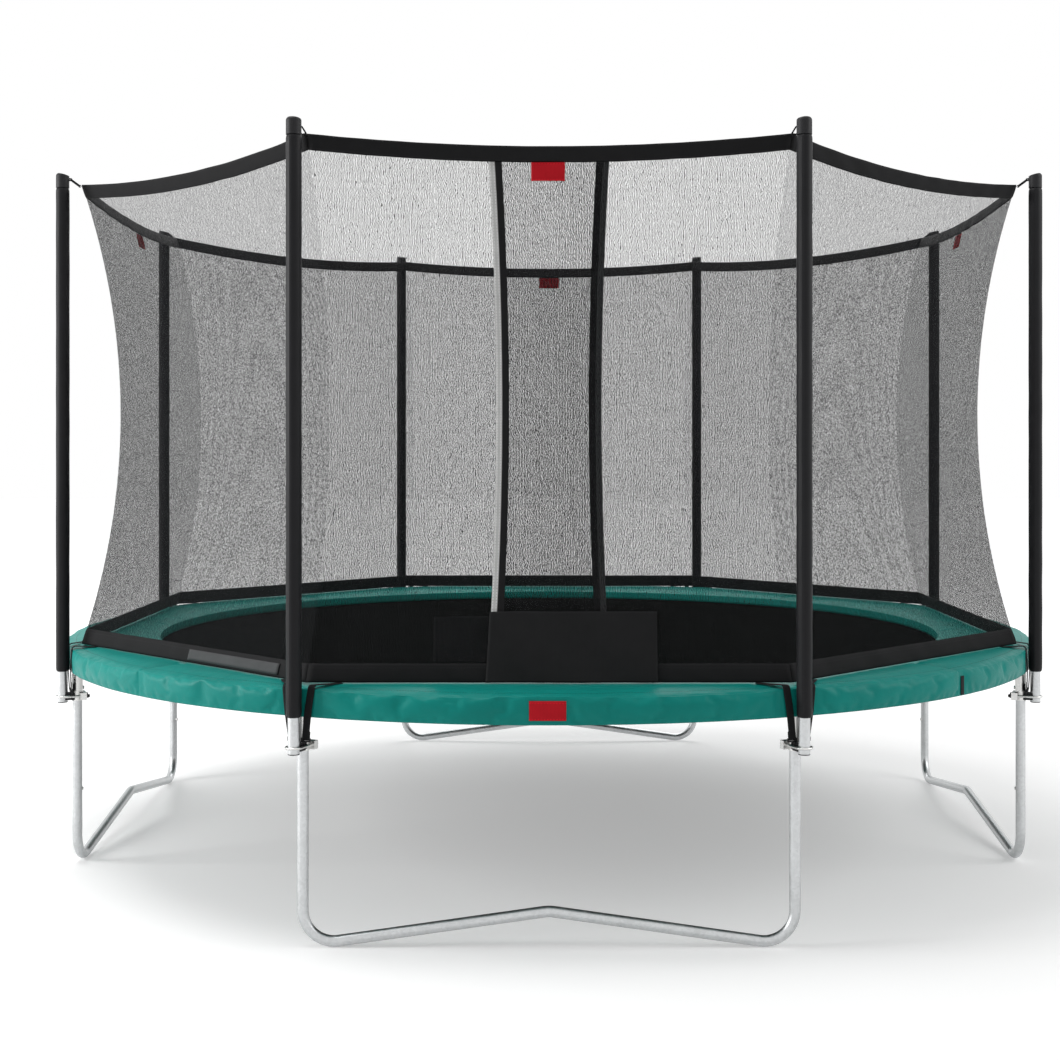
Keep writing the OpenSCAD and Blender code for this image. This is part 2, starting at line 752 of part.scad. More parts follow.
// Strap to one side of a post, from under the bottom band on a side of half angle h, over the pad
// and down the skirt to its hook
module strap(h) {
    edge_x = pad_ro - pad_edge_r;
    edge_h = pad_top - pad_edge_r;
    run_x = net_corner_r - strap_run * sin(h);
    run_y = strap_run * cos(h);
    half = strap_w / 2;
    translate([0, 0, pad_top + seat]) linear_extrude(strap_t)
        polygon([[run_x, run_y - half], [edge_x, strap_y - half],
                 [edge_x, strap_y + half], [run_x, run_y + half]]);
    translate([0, strap_y + half, 0]) rotate([90, 0, 0]) linear_extrude(strap_w)
        translate([edge_x, edge_h]) intersection() {
            annulus(2 * (pad_edge_r + seat + strap_t), 2 * (pad_edge_r + seat));
            square(2 * (pad_edge_r + strap_t));
        }
    translate([strap_x - strap_t / 2, 0, 0]) rotate([90, 0, 90]) linear_extrude(strap_t)
        polygon([[bolt_half - half, slot_top], [bolt_half + half, slot_top],
                 [strap_y + half, edge_h], [strap_y - half, edge_h]]);
    translate([0, bolt_half + half, 0]) rotate([90, 0, 0]) linear_extrude(strap_w) strap_turn();
}

// Outline of the turn of a strap in the slot of its hook, and of the tail that goes back up
module strap_turn() {
    turn_r = strap_hook_t / 2 + slip;
    box = turn_r + 2 * strap_t;
    translate([strap_hook_x, slot_top]) intersection() {
        annulus(2 * (turn_r + strap_t), 2 * turn_r);
        translate([-box, -box]) square([2 * box, box]);
    }
    translate([strap_hook_x - turn_r - strap_t, slot_top]) square([strap_t, strap_tail_l]);
}

module bottom_straps() {
    color("#161618") for (i = [0:7]) at_post(i, 0, 0) {
        strap(side_half(i));
        mirror([0, 1, 0]) strap(side_half((i + 7) % 8));
    }
}

// Flat hooks round the rods of the U bolts, each with a slot for its strap
module strap_hooks() {
    slot_w = strap_w + 2 * slip;
    plate_w = slot_w + 2 * strap_bar_h;
    plate_h = slot_h + 2 * strap_bar_h;
    color("#202022") at_posts(strap_hook_x - strap_hook_t / 2, clamp_mid) for (s = [0, 1]) mirror([0, s, 0])
        translate([0, bolt_half, 0]) rotate([90, 0, 90]) linear_extrude(strap_hook_t) difference() {
            union() {
                circle(r = strap_eye_r + strap_eye_wall);
                translate([-strap_stem_w / 2, 0]) square([strap_stem_w, strap_stem_l + strap_bar_h]);
                translate([-plate_w / 2, strap_stem_l]) square([plate_w, plate_h]);
            }
            circle(r = strap_eye_r);
            translate([0, -strap_eye_r]) square(2 * strap_eye_r);
            translate([-slot_w / 2, strap_stem_l + strap_bar_h]) square([slot_w, slot_h]);
        }
}

for (n = NUMBERS8) {
    ring_tube(n - 1);
    t_joint(n - 1);
    leg_upright(n - 1);
    net_pole(n - 1);
}
for (n = [1:4])
    leg_base(n - 1);
pole_sleeves();
pole_caps();
pole_end_plugs();
clamp_u_bolts();
clamp_spacers();
clamp_bars();
clamp_nuts();
leg_screws();
springs();
d_rings();
jumping_mat();
mat_hem();
safety_pad();
pad_skirt();
net_walls();
net_top_band();
net_bottom_band();
door_outer_net();
door_outer_trim();
door_inner_net();
door_inner_trim();
top_ties();
bottom_straps();
strap_hooks();
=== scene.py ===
import math

import bmesh
import bpy
import numpy as np
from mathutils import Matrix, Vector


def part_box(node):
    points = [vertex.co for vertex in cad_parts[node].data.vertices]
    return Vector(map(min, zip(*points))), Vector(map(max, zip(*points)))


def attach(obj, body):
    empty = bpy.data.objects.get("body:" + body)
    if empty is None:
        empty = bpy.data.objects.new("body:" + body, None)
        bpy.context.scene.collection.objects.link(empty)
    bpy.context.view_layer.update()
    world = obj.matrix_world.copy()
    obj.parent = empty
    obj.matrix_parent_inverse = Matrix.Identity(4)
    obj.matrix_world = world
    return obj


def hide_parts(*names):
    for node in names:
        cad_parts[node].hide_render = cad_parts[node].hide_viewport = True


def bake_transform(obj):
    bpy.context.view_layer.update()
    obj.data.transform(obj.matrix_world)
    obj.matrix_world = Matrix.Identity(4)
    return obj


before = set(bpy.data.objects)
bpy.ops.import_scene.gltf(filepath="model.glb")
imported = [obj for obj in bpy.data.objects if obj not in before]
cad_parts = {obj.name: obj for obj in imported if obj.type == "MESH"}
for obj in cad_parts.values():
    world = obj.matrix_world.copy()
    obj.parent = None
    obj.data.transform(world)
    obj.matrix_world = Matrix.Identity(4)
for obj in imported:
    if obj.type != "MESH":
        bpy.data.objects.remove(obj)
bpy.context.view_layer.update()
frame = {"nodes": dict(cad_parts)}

bl_info = {
    "name": "Garden trampoline",
    "version": (1, 0, 0),
    "blender": (4, 5, 0),
    "location": "View3D > Sidebar > Trampoline",
    "description": "Dresses the frame of a garden trampoline with its mat, springs, pad, net and poles",
    "category": "Object",
}

MM = 0.001
FULL_TURN = 2 * math.pi
POSTS = 8
SPRINGS = 80
# Metres between the textures of one side of the net and the next
SIDE_SHIFT = 3.1
# Where the black tag is sewn on the skirt
BLACK_TAG_ANGLE = math.radians(-44.4)


def linear(hex_colour):
    """Linear RGBA of an sRGB hex colour: c / 12.92 near black, else ((c + 0.055) / 1.055) ^ 2.4."""
    c = np.array([int(hex_colour[k:k + 2], 16) / 255 for k in (1, 3, 5)])
    return (*np.where(c <= 0.04045, c / 12.92, ((c + 0.055) / 1.055) ** 2.4).tolist(), 1.0)


def length(name, metres, words):
    """A size in metres that the user can change."""
    return bpy.props.FloatProperty(name=name, description=words, default=metres, min=0.0, unit="LENGTH")


def tint(name, hex_colour, words):
    """A colour that the user can change, kept as linear RGBA."""
    return bpy.props.FloatVectorProperty(name=name, description=words, default=linear(hex_colour), size=4,
                                         min=0.0, max=1.0, subtype="COLOR")


class FrameSizes(bpy.types.PropertyGroup):
    """Sizes of the ring, the poles and what hangs on them."""
    ring_r: length("Ring radius", 1.879, "From the middle to the middle of the ring tube")
    ring_h: length("Ring height", 0.749, "Height of the middle of the ring tube")
    leg_span: length("Leg span", 1.5, "Between the two uprights of a leg")
    pole_r: length("Pole radius", 1.9309, "From the middle to the middle of a pole")
    sleeve_d: length("Sleeve diameter", 0.052, "Outside of the foam sleeve")
    sleeve_foot: length("Sleeve foot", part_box("pole_sleeves")[0][2], "Height of the lower end of a sleeve")
    sleeve_head: length("Sleeve head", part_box("pole_sleeves")[1][2], "Height of the upper end of a sleeve")
    strap_y: length("Strap offset", 0.0445, "From the middle of a pole to a strap at the edge of the pad")
    strap_foot: length("Strap foot", 0.6374, "Height of the rail of a hook")
    strap_run: length("Strap run", 0.110, "From a corner of the net to where a strap is sewn on")
    strap_tail: length("Strap tail", 0.024, "Length of the tail of a strap")
    bolt_half: length("Bolt half width", 0.0243, "Half the distance between the rods of a U bolt")
    strap_w: length("Strap width", 0.025, "Width of the webbing straps")
    strap_t: length("Strap thickness", 0.002, "Thickness of the webbing straps")


class MatSizes(bpy.types.PropertyGroup):
    """Sizes of the mat, its hem, the springs and the rings."""
    mat_r: length("Mat radius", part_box("jumping_mat")[1][0], "Radius of the jumping mat inside its hem")
    mat_t: length("Mat thickness", 0.002, "Thickness of the mat")
    hem_r: length("Hem radius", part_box("mat_hem")[1][0], "Outer radius of the hem")
    hem_t: length("Hem thickness", 0.008, "Thickness of the folded hem")
    bar_r: length("Bar radius", 1.623, "From the middle to the bars of the D rings")
    bow_r: length("Bow radius", 0.020, "Radius of the bow of a D ring")
    ring_wire: length("Ring wire", 0.004, "Wire of a D ring")
    spring_wire: length("Spring wire", 0.0035, "Wire of a spring")
    spring_d: length("Spring diameter", 0.028, "Outside of a spring")
    foot_r: length("Spring foot", 1.64636, "Where the coil starts at the mat")
    head_r: length("Spring head", 1.846, "Where the coil ends at the ring")
    curl_r: length("Spring curl", 1.87192, "Where the hook curls inside the ring tube")
    curl_end: length("Spring tail", 1.86327, "Where the hook ends behind the wall")
    turns: bpy.props.IntProperty(name="Turns", description="Turns of a spring", default=54, min=4)
    rim_share: bpy.props.FloatProperty(name="Rim share", default=0.45, min=0.0, max=1.0, subtype="FACTOR",
                                       description="Share of the bounce that reaches the edge of the mat")


class PadSizes(bpy.types.PropertyGroup):
    """Sizes of the edge pad and its skirt."""
    inner_r: length("Inner radius", 1.5559, "Inner edge of the pad")
    outer_r: length("Outer radius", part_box("pad_skirt")[1][0], "Outer face of the pad and its skirt")
    foot: length("Pad underside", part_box("safety_pad")[0][2], "Height of the underside of the pad")
    head: length("Pad top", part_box("safety_pad")[1][2], "Height of the top of the pad")
    lip_foot: length("Lip foot", 0.7545, "Height of the lower edge of the lip that hangs to the mat")
    skirt_foot: length("Skirt foot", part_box("pad_skirt")[0][2], "Height of the lower edge of the skirt")
    skirt_t: length("Skirt thickness", 0.0026, "Thickness of the skirt with its fold")
    edge: length("Edge", 0.012, "Rounding of the upper edges")
    seam_in: length("Seam", 0.028, "From the outer edge to the sewn seam on top")
    crease: length("Crease", 0.012, "How far the cloth may stand off at a crease")


class NetSizes(bpy.types.PropertyGroup):
    """Sizes of the net, its bands and its entrance."""
    corner_r: length("Corner radius", 1.863, "From the middle to a top corner of the net")
    draw_in: length("Draw in", 0.138, "How far a corner draws in at half height")
    foot: length("Foot", 0.8029, "Height of the lower edge")
    head: length("Head", 2.482, "Height of the top corners")
    top_band: length("Top band", 0.048, "Height of the top band")
    top_sag: length("Sag", 0.037, "Sag of the top band in the middle of a side")
    bottom_band: length("Bottom band", 0.056, "Height of the bottom band")
    band_t: length("Band thickness", 0.004, "Thickness of the bands")
    layer: length("Layer", 0.0033, "From the net to a flap that lies on it")
    seam: length("Seam", 0.350, "From the middle of the front to the seam of a flap")
    edge: length("Free edge", 0.190, "From the middle of the front to a free edge")
    bow: length("Bow", 0.025, "How far a free edge bows back at half height")
    trim_w: length("Trim", 0.039, "Width of the webbing along a free edge")
    tape_w: length("Tape", 0.019, "Width of the tape outside that webbing")
    panel_h: length("Panel", 0.213, "Height of the panel at the foot of a flap")
    pitch: length("Thread pitch", 0.0048, "Distance between threads, a little coarser than the real knit")
    thread: length("Thread", 0.00136, "Width of a drawn thread")
    knit_t: length("Knit thickness", 0.00055, "Thickness of the knit")


class Finishes(bpy.types.PropertyGroup):
    """Colours of the finishes."""
    zinc: tint("Zinc", "#C9CBCC", "Galvanised tubes")
    bright: tint("Bright zinc", "#D6D6D4", "Springs, rings, bolts and joints")
    plastic: tint("Plastic", "#1E1E20", "Caps, plugs, nuts and spacers")
    sleeve: tint("Sleeve", "#19191B", "Cover of the foam sleeves")
    mat: tint("Mat", "#0C0D0C", "Woven mat")
    webbing: tint("Webbing", "#1E1E1F", "Bands, straps and panels")
    net: tint("Net", "#2C2D2E", "Threads of the net")
    pad: tint("Pad", "#0B877E", "Coated cloth of the pad")
    tag: tint("Tag", "#C01A26", "Sewn tags")
    tape: tint("Tape", "#CFCFCE", "Tape along the outer free edge")
    # On the inner flap's tape this grey is painted shade: that tape is the same pale tape as on the outer
    # flap, drawn dark grey as it looks in shade behind the outer flap's net. On the plain patch it is the
    # patch's own grey.
    grey: tint("Grey", "#4A4B4C", "Inner edge tape and plain patch")
    floor: tint("Floor", "#E8E8E8", "Floor")


class Trampoline(bpy.types.PropertyGroup):
    """All that the user can change."""
    frame: bpy.props.PointerProperty(type=FrameSizes, name="Frame", description="Ring and poles")
    mat: bpy.props.PointerProperty(type=MatSizes, name="Mat", description="Mat and springs")
    pad: bpy.props.PointerProperty(type=PadSizes, name="Pad", description="Pad and skirt")
    net: bpy.props.PointerProperty(type=NetSizes, name="Net", description="Net and entrance")
    finish: bpy.props.PointerProperty(type=Finishes, name="Finishes", description="Colours")


def settings():
    """The scene's own sizes and colours."""
    return bpy.context.scene.trampoline


def leg_half():
    """Half the angle between the two posts of a leg."""
    f = settings().frame
    return math.asin(f.leg_span / 2 / f.ring_r)


def post_angle(i):
    """Angle of post i, anticlockwise from the front left one, in radians."""
    return math.radians(-90 + 90 * (i // 2)) + (1 if i % 2 else -1) * leg_half()


def side_angle(i):
    """Angle of the middle of side i, which joins post i to the next one."""
    return math.radians(-90 + 45 * i)


def side_half(i):
    """Half the angle that side i spans."""
    return math.pi / 4 - leg_half() if i % 2 else leg_half()


def turned(points, angle):
    """Points turned about +Z: (x c - y s, x s + y c, z)."""
    c, s = math.cos(angle), math.sin(angle)
    return points @ np.array([[c, s, 0], [-s, c, 0], [0, 0, 1]])


def radius(points):
    """Distance of points from the middle: sqrt(x^2 + y^2)."""
    return np.hypot(points[..., 0], points[..., 1])


def round_points(r, a, z):
    """Points at distance r from the middle, angle a and height z: (r cos a, r sin a, z)."""
    return np.stack([r * np.cos(a), r * np.sin(a), z], -1)


def smooth(a, b, t):
    """Smooth step from 0 at a to 1 at b: k k (3 - 2 k)."""
    k = np.clip((t - a) / (b - a), 0, 1)
    return k * k * (3 - 2 * k)


def ripples(u, v, seed, waves, low, high):
    """Sum of seeded plane waves over (u, v) with wave numbers between low and high, about -1 to 1."""
    rng = np.random.default_rng(seed)
    k = rng.uniform(low, high, waves)[:, None, None] * rng.choice([-1, 1], waves)[:, None, None]
    a = rng.uniform(0, 0.6, waves)[:, None, None]
    p = rng.uniform(0, FULL_TURN, waves)[:, None, None]
    return np.sin(k * (u * np.cos(a) + v * np.sin(a)) + p).sum(0) / math.sqrt(waves)


def put(tree, kind, links=None, **values):
    """Adds a node, sets its own settings, and sets or links its inputs."""
    node = tree.nodes.new(kind)
    for name, value in values.items():
        setattr(node, name, value)
    for name, value in (links or {}).items():
        if isinstance(value, bpy.types.NodeSocket):
            tree.links.new(value, node.inputs[name])
        else:
            node.inputs[name].default_value = value
    return node


def material(name, **inputs):
    """A new material with a Principled shader, whose plain values are set on its own sockets."""
    mat = bpy.data.materials.new(name)
    mat.use_nodes = True
    tree = mat.node_tree
    tree.nodes.clear()
    shader = put(tree, "ShaderNodeBsdfPrincipled", {k.replace("_", " "): v for k, v in inputs.items()})
    put(tree, "ShaderNodeOutputMaterial", {"Surface": shader.outputs[0]})
    return mat, tree, shader


def maths(tree, operation, *terms):
    """Folds terms with one math operation."""
    total = terms[0]
    for term in terms[1:]:
        total = put(tree, "ShaderNodeMath", {0: total, 1: term}, operation=operation).outputs[0]
    return total


def weighed(tree, *parts):
    """Sum of parts, each a value and its share."""
    return maths(tree, "ADD", *[maths(tree, "MULTIPLY", *part) for part in parts])


def spread(tree, value, low, high, start=0.0, end=1.0, kind="LINEAR"):
    """A value between start and end, spread out to run from low to high."""
    ends = {"Value": value, "From Min": start, "From Max": end, "To Min": low, "To Max": high}
    return put(tree, "ShaderNodeMapRange", ends, interpolation_type=kind).outputs[0]


def tones(tree, factor, dark, light):
    """Colour between two others by a factor."""
    return put(tree, "ShaderNodeMix", {0: factor, 6: dark, 7: light}, data_type="RGBA").outputs[2]


def shade(colour, k):
    """The same colour, k times as bright."""
    return (*[min(1.0, c * k) for c in colour[:3]], 1.0)


def paint(tree, shader, factor, colour, dark, light):
    """Gives the shader a colour between two shades of one colour by a factor."""
    mixed = tones(tree, factor, shade(colour, dark), shade(colour, light))
    tree.links.new(mixed, shader.inputs["Base Color"])


def roughen(tree, shader, factor, low, high):
    """Gives the shader a roughness between two values by a factor."""
    tree.links.new(spread(tree, factor, low, high), shader.inputs["Roughness"])


def bump(tree, shader, height, depth, strength):
    """Links a height to the shader's normal as a bump of that depth in metres."""
    node = put(tree, "ShaderNodeBump", {"Height": height, "Distance": depth, "Strength": strength})
    tree.links.new(node.outputs[0], shader.inputs["Normal"])


def noise(tree, coords, size, detail=2.0, distortion=0.0):
    """Noise whose patches are about that size in metres."""
    values = {"Vector": coords, "Scale": 1 / size, "Detail": detail, "Distortion": distortion}
    return put(tree, "ShaderNodeTexNoise", values).outputs[0]


def cells(tree, coords, size):
    """Voronoi cells of about that size in metres."""
    return put(tree, "ShaderNodeTexVoronoi", {"Vector": coords, "Scale": 1 / size}).outputs


def place(tree):
    """The piece's own coordinates in metres."""
    return put(tree, "ShaderNodeTexCoord").outputs["Object"]


def uv_axes(tree):
    """The piece's own UV map, in metres along and across it."""
    uv = put(tree, "ShaderNodeUVMap", uv_map="Metres").outputs[0]
    axes = put(tree, "ShaderNodeSeparateXYZ", {0: uv})
    return uv, axes.outputs[0], axes.outputs[1]


def comb(tree, value, pitch, width):
    """1 on lines of that width, a pitch apart, where value runs across the lines."""
    return maths(tree, "LESS_THAN", maths(tree, "PINGPONG", value, pitch / 2), width / 2)


def square_weave(tree, u, v, pitch, width):
    """1 on the lines of a square weave."""
    return maths(tree, "MAXIMUM", comb(tree, u, pitch, width), comb(tree, v, pitch, width))


def stitch_rows(tree, u, v, rows, pitch=0.009):
    """1 on the stitches of rows at those places across the cloth, with a gap after each stitch."""
    stitch_share, row_half = 0.66, 0.0013
    dashes = comb(tree, u, pitch, pitch * stitch_share)
    lines = [put(tree, "ShaderNodeMath", {0: v, 1: row, 2: row_half}, operation="COMPARE").outputs[0]
             for row in rows]
    return maths(tree, "MULTIPLY", maths(tree, "MAXIMUM", *lines), dashes)


def galvanised_tube(colour, name="galvanised_steel_satin", rough=0.36):
    """Hot dipped zinc on steel tube: pale grey with cloudy spangle and a soft, broad shine."""
    mat, tree, shader = material(name, Metallic=1.0)
    coords = place(tree)
    # Zinc crystals are about 8 mm across, clouds in the zinc 60 mm, and its fine grain 4 mm
    grain = put(tree, "ShaderNodeSeparateColor", {0: cells(tree, coords, 0.008)["Color"]}).outputs[0]
    mixed = weighed(tree, (grain, 0.35), (noise(tree, coords, 0.06, 4.0), 0.65))
    paint(tree, shader, mixed, colour, 0.8, 1.12)
    roughen(tree, shader, mixed, rough - 0.08, rough + 0.12)
    bump(tree, shader, noise(tree, coords, 0.004, 3.0), 0.0001, 0.4)
    return mat


def moulded_plastic(colour):
    """Polypropylene from a spark eroded mould: near black, matte, with a fine even grain."""
    mat, tree, shader = material("polypropylene_moulded", Specular_IOR_Level=0.25)
    coords = place(tree)
    # The grain is 0.6 mm, and dust dulls the colour in patches of 30 mm
    patches = noise(tree, coords, 0.03, 3.0)
    paint(tree, shader, patches, colour, 0.85, 1.3)
    roughen(tree, shader, patches, 0.42, 0.6)
    bump(tree, shader, noise(tree, coords, 0.0006), 0.00006, 0.5)
    return mat


def sleeve_cover(colour):
    """Coated polyester over foam: smooth black with a dull gloss, soft dents and a sewn lap."""
    mat, tree, shader = material("coated_polyester_sleeve", Specular_IOR_Level=0.16)
    _, u, v = uv_axes(tree)
    # The cloth under the coat has threads 1.5 mm apart, and its dents are about 50 mm long
    weave = square_weave(tree, u, v, 0.0015, 0.0007)
    dents = noise(tree, place(tree), 0.05, 3.0)
    seam = stitch_rows(tree, v, u, [0.006], 0.008)
    paint(tree, shader, weighed(tree, (dents, 1.0), (seam, 0.9)), colour, 0.8, 1.5)
    roughen(tree, shader, dents, 0.38, 0.55)
    bump(tree, shader, weighed(tree, (weave, 0.06), (dents, 1.0), (seam, 1.0)), 0.0012, 0.5)
    return mat


def mat_weave(colour):
    """Tight polypropylene weave: dull black with a faint square grid and dusty patches."""
    mat, tree, shader = material("polypropylene_weave", Specular_IOR_Level=0.0)
    coords = place(tree)
    axes = put(tree, "ShaderNodeSeparateXYZ", {0: coords}).outputs
    # Flat threads of the weave are 2.5 mm wide; they are drawn 10 mm apart so that the grid shows
    grid = square_weave(tree, axes[0], axes[1], 0.010, 0.0035)
    dust = noise(tree, coords, 0.25, 5.0)
    paint(tree, shader, weighed(tree, (grid, 0.35), (dust, 0.6)), colour, 0.7, 1.6)
    roughen(tree, shader, dust, 0.55, 0.8)
    bump(tree, shader, grid, 0.0004, 0.5)
    return mat


def webbing(colour, name, rows, rough=0.72):
    """Woven polyester tape: ribs across its width, sewn rows, a dry soft surface."""
    mat, tree, shader = material(name, Roughness=rough, Specular_IOR_Level=0.1)
    uv, u, v = uv_axes(tree)
    # Ribs of real tape are 1.4 mm apart; they are drawn at 4 mm so that they show
    rib_half = 0.002
    ribs = maths(tree, "MULTIPLY", maths(tree, "PINGPONG", u, rib_half), 1 / rib_half)
    soft = noise(tree, uv, 0.045, 3.0)
    sewn = stitch_rows(tree, u, v, rows)
    paint(tree, shader, weighed(tree, (ribs, 0.25), (soft, 0.5), (sewn, 0.8)), colour, 0.75, 1.45)
    bump(tree, shader, weighed(tree, (ribs, 0.35), (soft, 1.0), (sewn, 1.0)), 0.0009, 0.6)
    return mat


def net_knit(colour, pitch, thread):
    """Knitted polyethylene net: upright threads joined by fine slanting ones, open between them."""
    mat, tree, shader = material("polyethylene_knit", Base_Color=tuple(colour), Roughness=0.6,
                                 Specular_IOR_Level=0.0)
    uv, u, v = uv_axes(tree)
    # Real holes are about 3 mm; the pitch is a little coarser, so that the knit shows. Threads wander by
    # about half a pitch in 11 mm, so that two nets in line don't make rings
    wander = maths(tree, "MULTIPLY", maths(tree, "ADD", noise(tree, uv, 0.011), -0.5), 2.6 * pitch)
    near = maths(tree, "PINGPONG", maths(tree, "ADD", u, wander), pitch / 2)
    upright = spread(tree, near, 1.0, 0.0, thread * 0.3, thread * 0.7, "SMOOTHSTEP")
    cross = maths(tree, "PINGPONG", weighed(tree, (v, 1.0), (near, 0.6)), pitch * 0.35)
    slant = spread(tree, cross, 1.0, 0.0, thread * 0.1, thread * 0.27, "SMOOTHSTEP")
    # Some courses are knitted tighter than others, in streaks 20 mm wide and 200 mm long
    stretch = put(tree, "ShaderNodeCombineXYZ", {0: u, 1: maths(tree, "MULTIPLY", v, 0.1)}).outputs[0]
    streak = spread(tree, noise(tree, stretch, 0.02), 0.75, 1.0)
    # Threads too fine to draw are a thin veil between the drawn ones
    veil = 0.03
    upright = maths(tree, "MULTIPLY", upright, streak)
    slant = maths(tree, "MULTIPLY", slant, 0.5)
    tree.links.new(maths(tree, "MAXIMUM", upright, slant, veil), shader.inputs["Alpha"])
    return mat


def pad_cloth(colour, rows):
    """Coated polyester of the pad: saturated green with a low wet gloss, fine creases and sewn rows."""
    mat, tree, shader = material("coated_polyester_pad", Specular_IOR_Level=0.14)
    _, u, v = uv_axes(tree)
    coords = place(tree)
    # Threads under the coat are 1 mm apart, drawn at 3 mm; creases are 60 to 150 mm long
    weave = square_weave(tree, u, v, 0.003, 0.0012)
    broad = noise(tree, coords, 0.15, 4.0)
    fine = noise(tree, coords, 0.06, 5.0, 1.2)
    sewn = stitch_rows(tree, u, v, rows)
    cloud = weighed(tree, (broad, 0.7), (fine, 0.3))
    cloth = tones(tree, cloud, shade(colour, 0.78), shade(colour, 1.2))
    tree.links.new(tones(tree, sewn, cloth, shade(colour, 0.35)), shader.inputs["Base Color"])
    roughen(tree, shader, fine, 0.33, 0.5)
    bump(tree, shader, weighed(tree, (fine, 1.0), (weave, 0.03), (sewn, -0.3)), 0.004, 0.35)
    return mat


def braid(colour):
    """Braided elastic cord: dull black with strands about 1.2 mm wide."""
    mat, tree, shader = material("braided_elastic", Roughness=0.75, Specular_IOR_Level=0.1)
    strands = cells(tree, place(tree), 0.0012)["Distance"]
    paint(tree, shader, strands, colour, 0.7, 1.8)
    bump(tree, shader, strands, 0.0003, 0.5)
    return mat


FINISHES = {}


def finish_of(name):
    """The finish of that name, made once and then shared."""
    if name not in FINISHES:
        f, n = settings().finish, settings().net
        makers = {
            "zinc": (galvanised_tube, f.zinc),
            "bright": (galvanised_tube, f.bright, "bright_zinc_plate", 0.28),
            "plastic": (moulded_plastic, f.plastic),
            "sleeve": (sleeve_cover, f.sleeve),
            "mat": (mat_weave, f.mat),
            "band": (webbing, f.webbing, "polyester_webbing_black", [0.005, n.top_band - 0.005]),
            "strap": (webbing, f.webbing, "polyester_strap_black", [0.004, settings().frame.strap_w - 0.004]),
            "panel": (webbing, f.webbing, "polyester_panel_black", [0.008, 0.012], 0.6),
            "net": (net_knit, f.net, n.pitch, n.thread),
            "pad": (pad_cloth, f.pad, [-settings().pad.seam_in - 0.004]),
            "tag": (webbing, f.tag, "satin_tag_red", [0.004, 0.051], 0.5),
            "tape": (webbing, f.tape, "polyester_tape_pale", [0.004, 0.015], 0.6),
            # Grey webbing: the patch's own colour, and painted shade on the inner flap's tape, which is
            # really the pale tape
            "grey": (webbing, f.grey, "polyester_tape_grey", [0.004], 0.6),
            "braid": (braid, f.plastic),
        }
        maker, *values = makers[name]
        FINISHES[name] = maker(*values)
    return FINISHES[name]


def surface(name, grids, finish, uvs=None, wrap=(False, False), closed=False):
    """One mesh object from grids of points (n, m, 3) joined by quads, wrapped round on itself along
    either axis where asked. uvs, one per grid, are (n or n + 1, m or m + 1, 2) in metres. A grid that
    wraps along its second axis has both its ends closed where closed is set."""
    points = []
    quads = []
    loops = []
    base = 0
    for k, grid in enumerate(grids):
        n, m = grid.shape[:2]
        i, j = np.meshgrid(np.arange(n - 1 + wrap[0]), np.arange(m - 1 + wrap[1]), indexing="ij")
        corners = [(i, j), (i + 1, j), (i + 1, j + 1), (i, j + 1)]
        faces = np.stack([(a % n) * m + b % m for a, b in corners], -1).reshape(-1, 4)
        uv = np.stack([uvs[k][a, b] for a, b in corners], -2).reshape(-1, 4, 2) if uvs else None
        if closed:
            e = np.arange(m // 2 - 1)
            lid = np.stack([m - 1 - e, m - 2 - e, e + 1, e], -1)
            faces = np.concatenate([faces, lid[:, ::-1], lid + (n - 1) * m])
            if uvs:
                uv = np.concatenate([uv, np.zeros((2 * len(lid), 4, 2))])
        points.append(grid.reshape(-1, 3))
        quads.append(faces + base)
        loops.append(uv)
        base += n * m
    points, quads = np.concatenate(points), np.concatenate(quads)
    mesh = bpy.data.meshes.new(name)
    mesh.vertices.add(len(points))
    mesh.vertices.foreach_set("co", points.astype(np.float32).ravel())
    mesh.loops.add(quads.size)
    mesh.loops.foreach_set("vertex_index", quads.astype(np.int32).ravel())
    mesh.polygons.add(len(quads))
    mesh.polygons.foreach_set("loop_start", np.arange(0, quads.size, 4, dtype=np.int32))
    mesh.polygons.foreach_set("use_smooth", np.ones(len(quads), bool))
    if uvs:
        layer = mesh.uv_layers.new(name="Metres")
        layer.data.foreach_set("uv", np.concatenate(loops).astype(np.float32).ravel())
    mesh.update(calc_edges=True)
    mesh.validate()
    mesh.materials.append(finish_of(finish))
    piece = bpy.data.objects.new(name, mesh)
    bpy.context.scene.collection.objects.link(piece)
    return piece


def outward(piece):
    """Turns the faces of a closed piece outwards."""
    work = bmesh.new()
    work.from_mesh(piece.data)
    bmesh.ops.recalc_face_normals(work, faces=work.faces)
    work.to_mesh(piece.data)
    work.free()
    return piece


def thicken(piece, thickness, offset=0.0, rim=True):
    """Gives a sheet its thickness, at its middle or to one side of it, with its edges closed or open."""
    wall = piece.modifiers.new("Cloth thickness", "SOLIDIFY")
    wall.thickness = thickness
    wall.offset = offset
    wall.use_rim = rim


def stands_for(nodes):
    """Hides the CAD nodes that the piece stands for."""
    if nodes:
        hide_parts(*nodes)


def carried(piece, body, slot_name, *nodes):
    """The piece rides on a body."""
    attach(piece, body)
    stands_for(nodes)


def bent(piece, body, weights, slot_name, *nodes):
    """Bakes the piece's transform into its mesh and hides the CAD nodes that it stands for; its body and
    weights are not used.
    """
    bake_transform(piece)
    stands_for(nodes)


def sweep(path, side, profile, closed_path=False):
    """Profile points (a, b) carried along a path: p + a s + b (t x s), where t is the path's direction
    and s is side made square to it."""
    t = np.roll(path, -1, 0) - np.roll(path, 1, 0) if closed_path else np.gradient(path, axis=0)
    t /= np.linalg.norm(t, axis=1, keepdims=True)
    s = side - (side * t).sum(1, keepdims=True) * t
    s /= np.linalg.norm(s, axis=1, keepdims=True)
    b = np.cross(t, s)
    return path[:, None] + profile[None, :, :1] * s[:, None] + profile[None, :, 1:] * b[:, None]


def round_profile(d, sides):
    """Regular polygon of that diameter."""
    a = np.arange(sides) * FULL_TURN / sides
    return np.stack([np.cos(a), np.sin(a)], 1) * d / 2


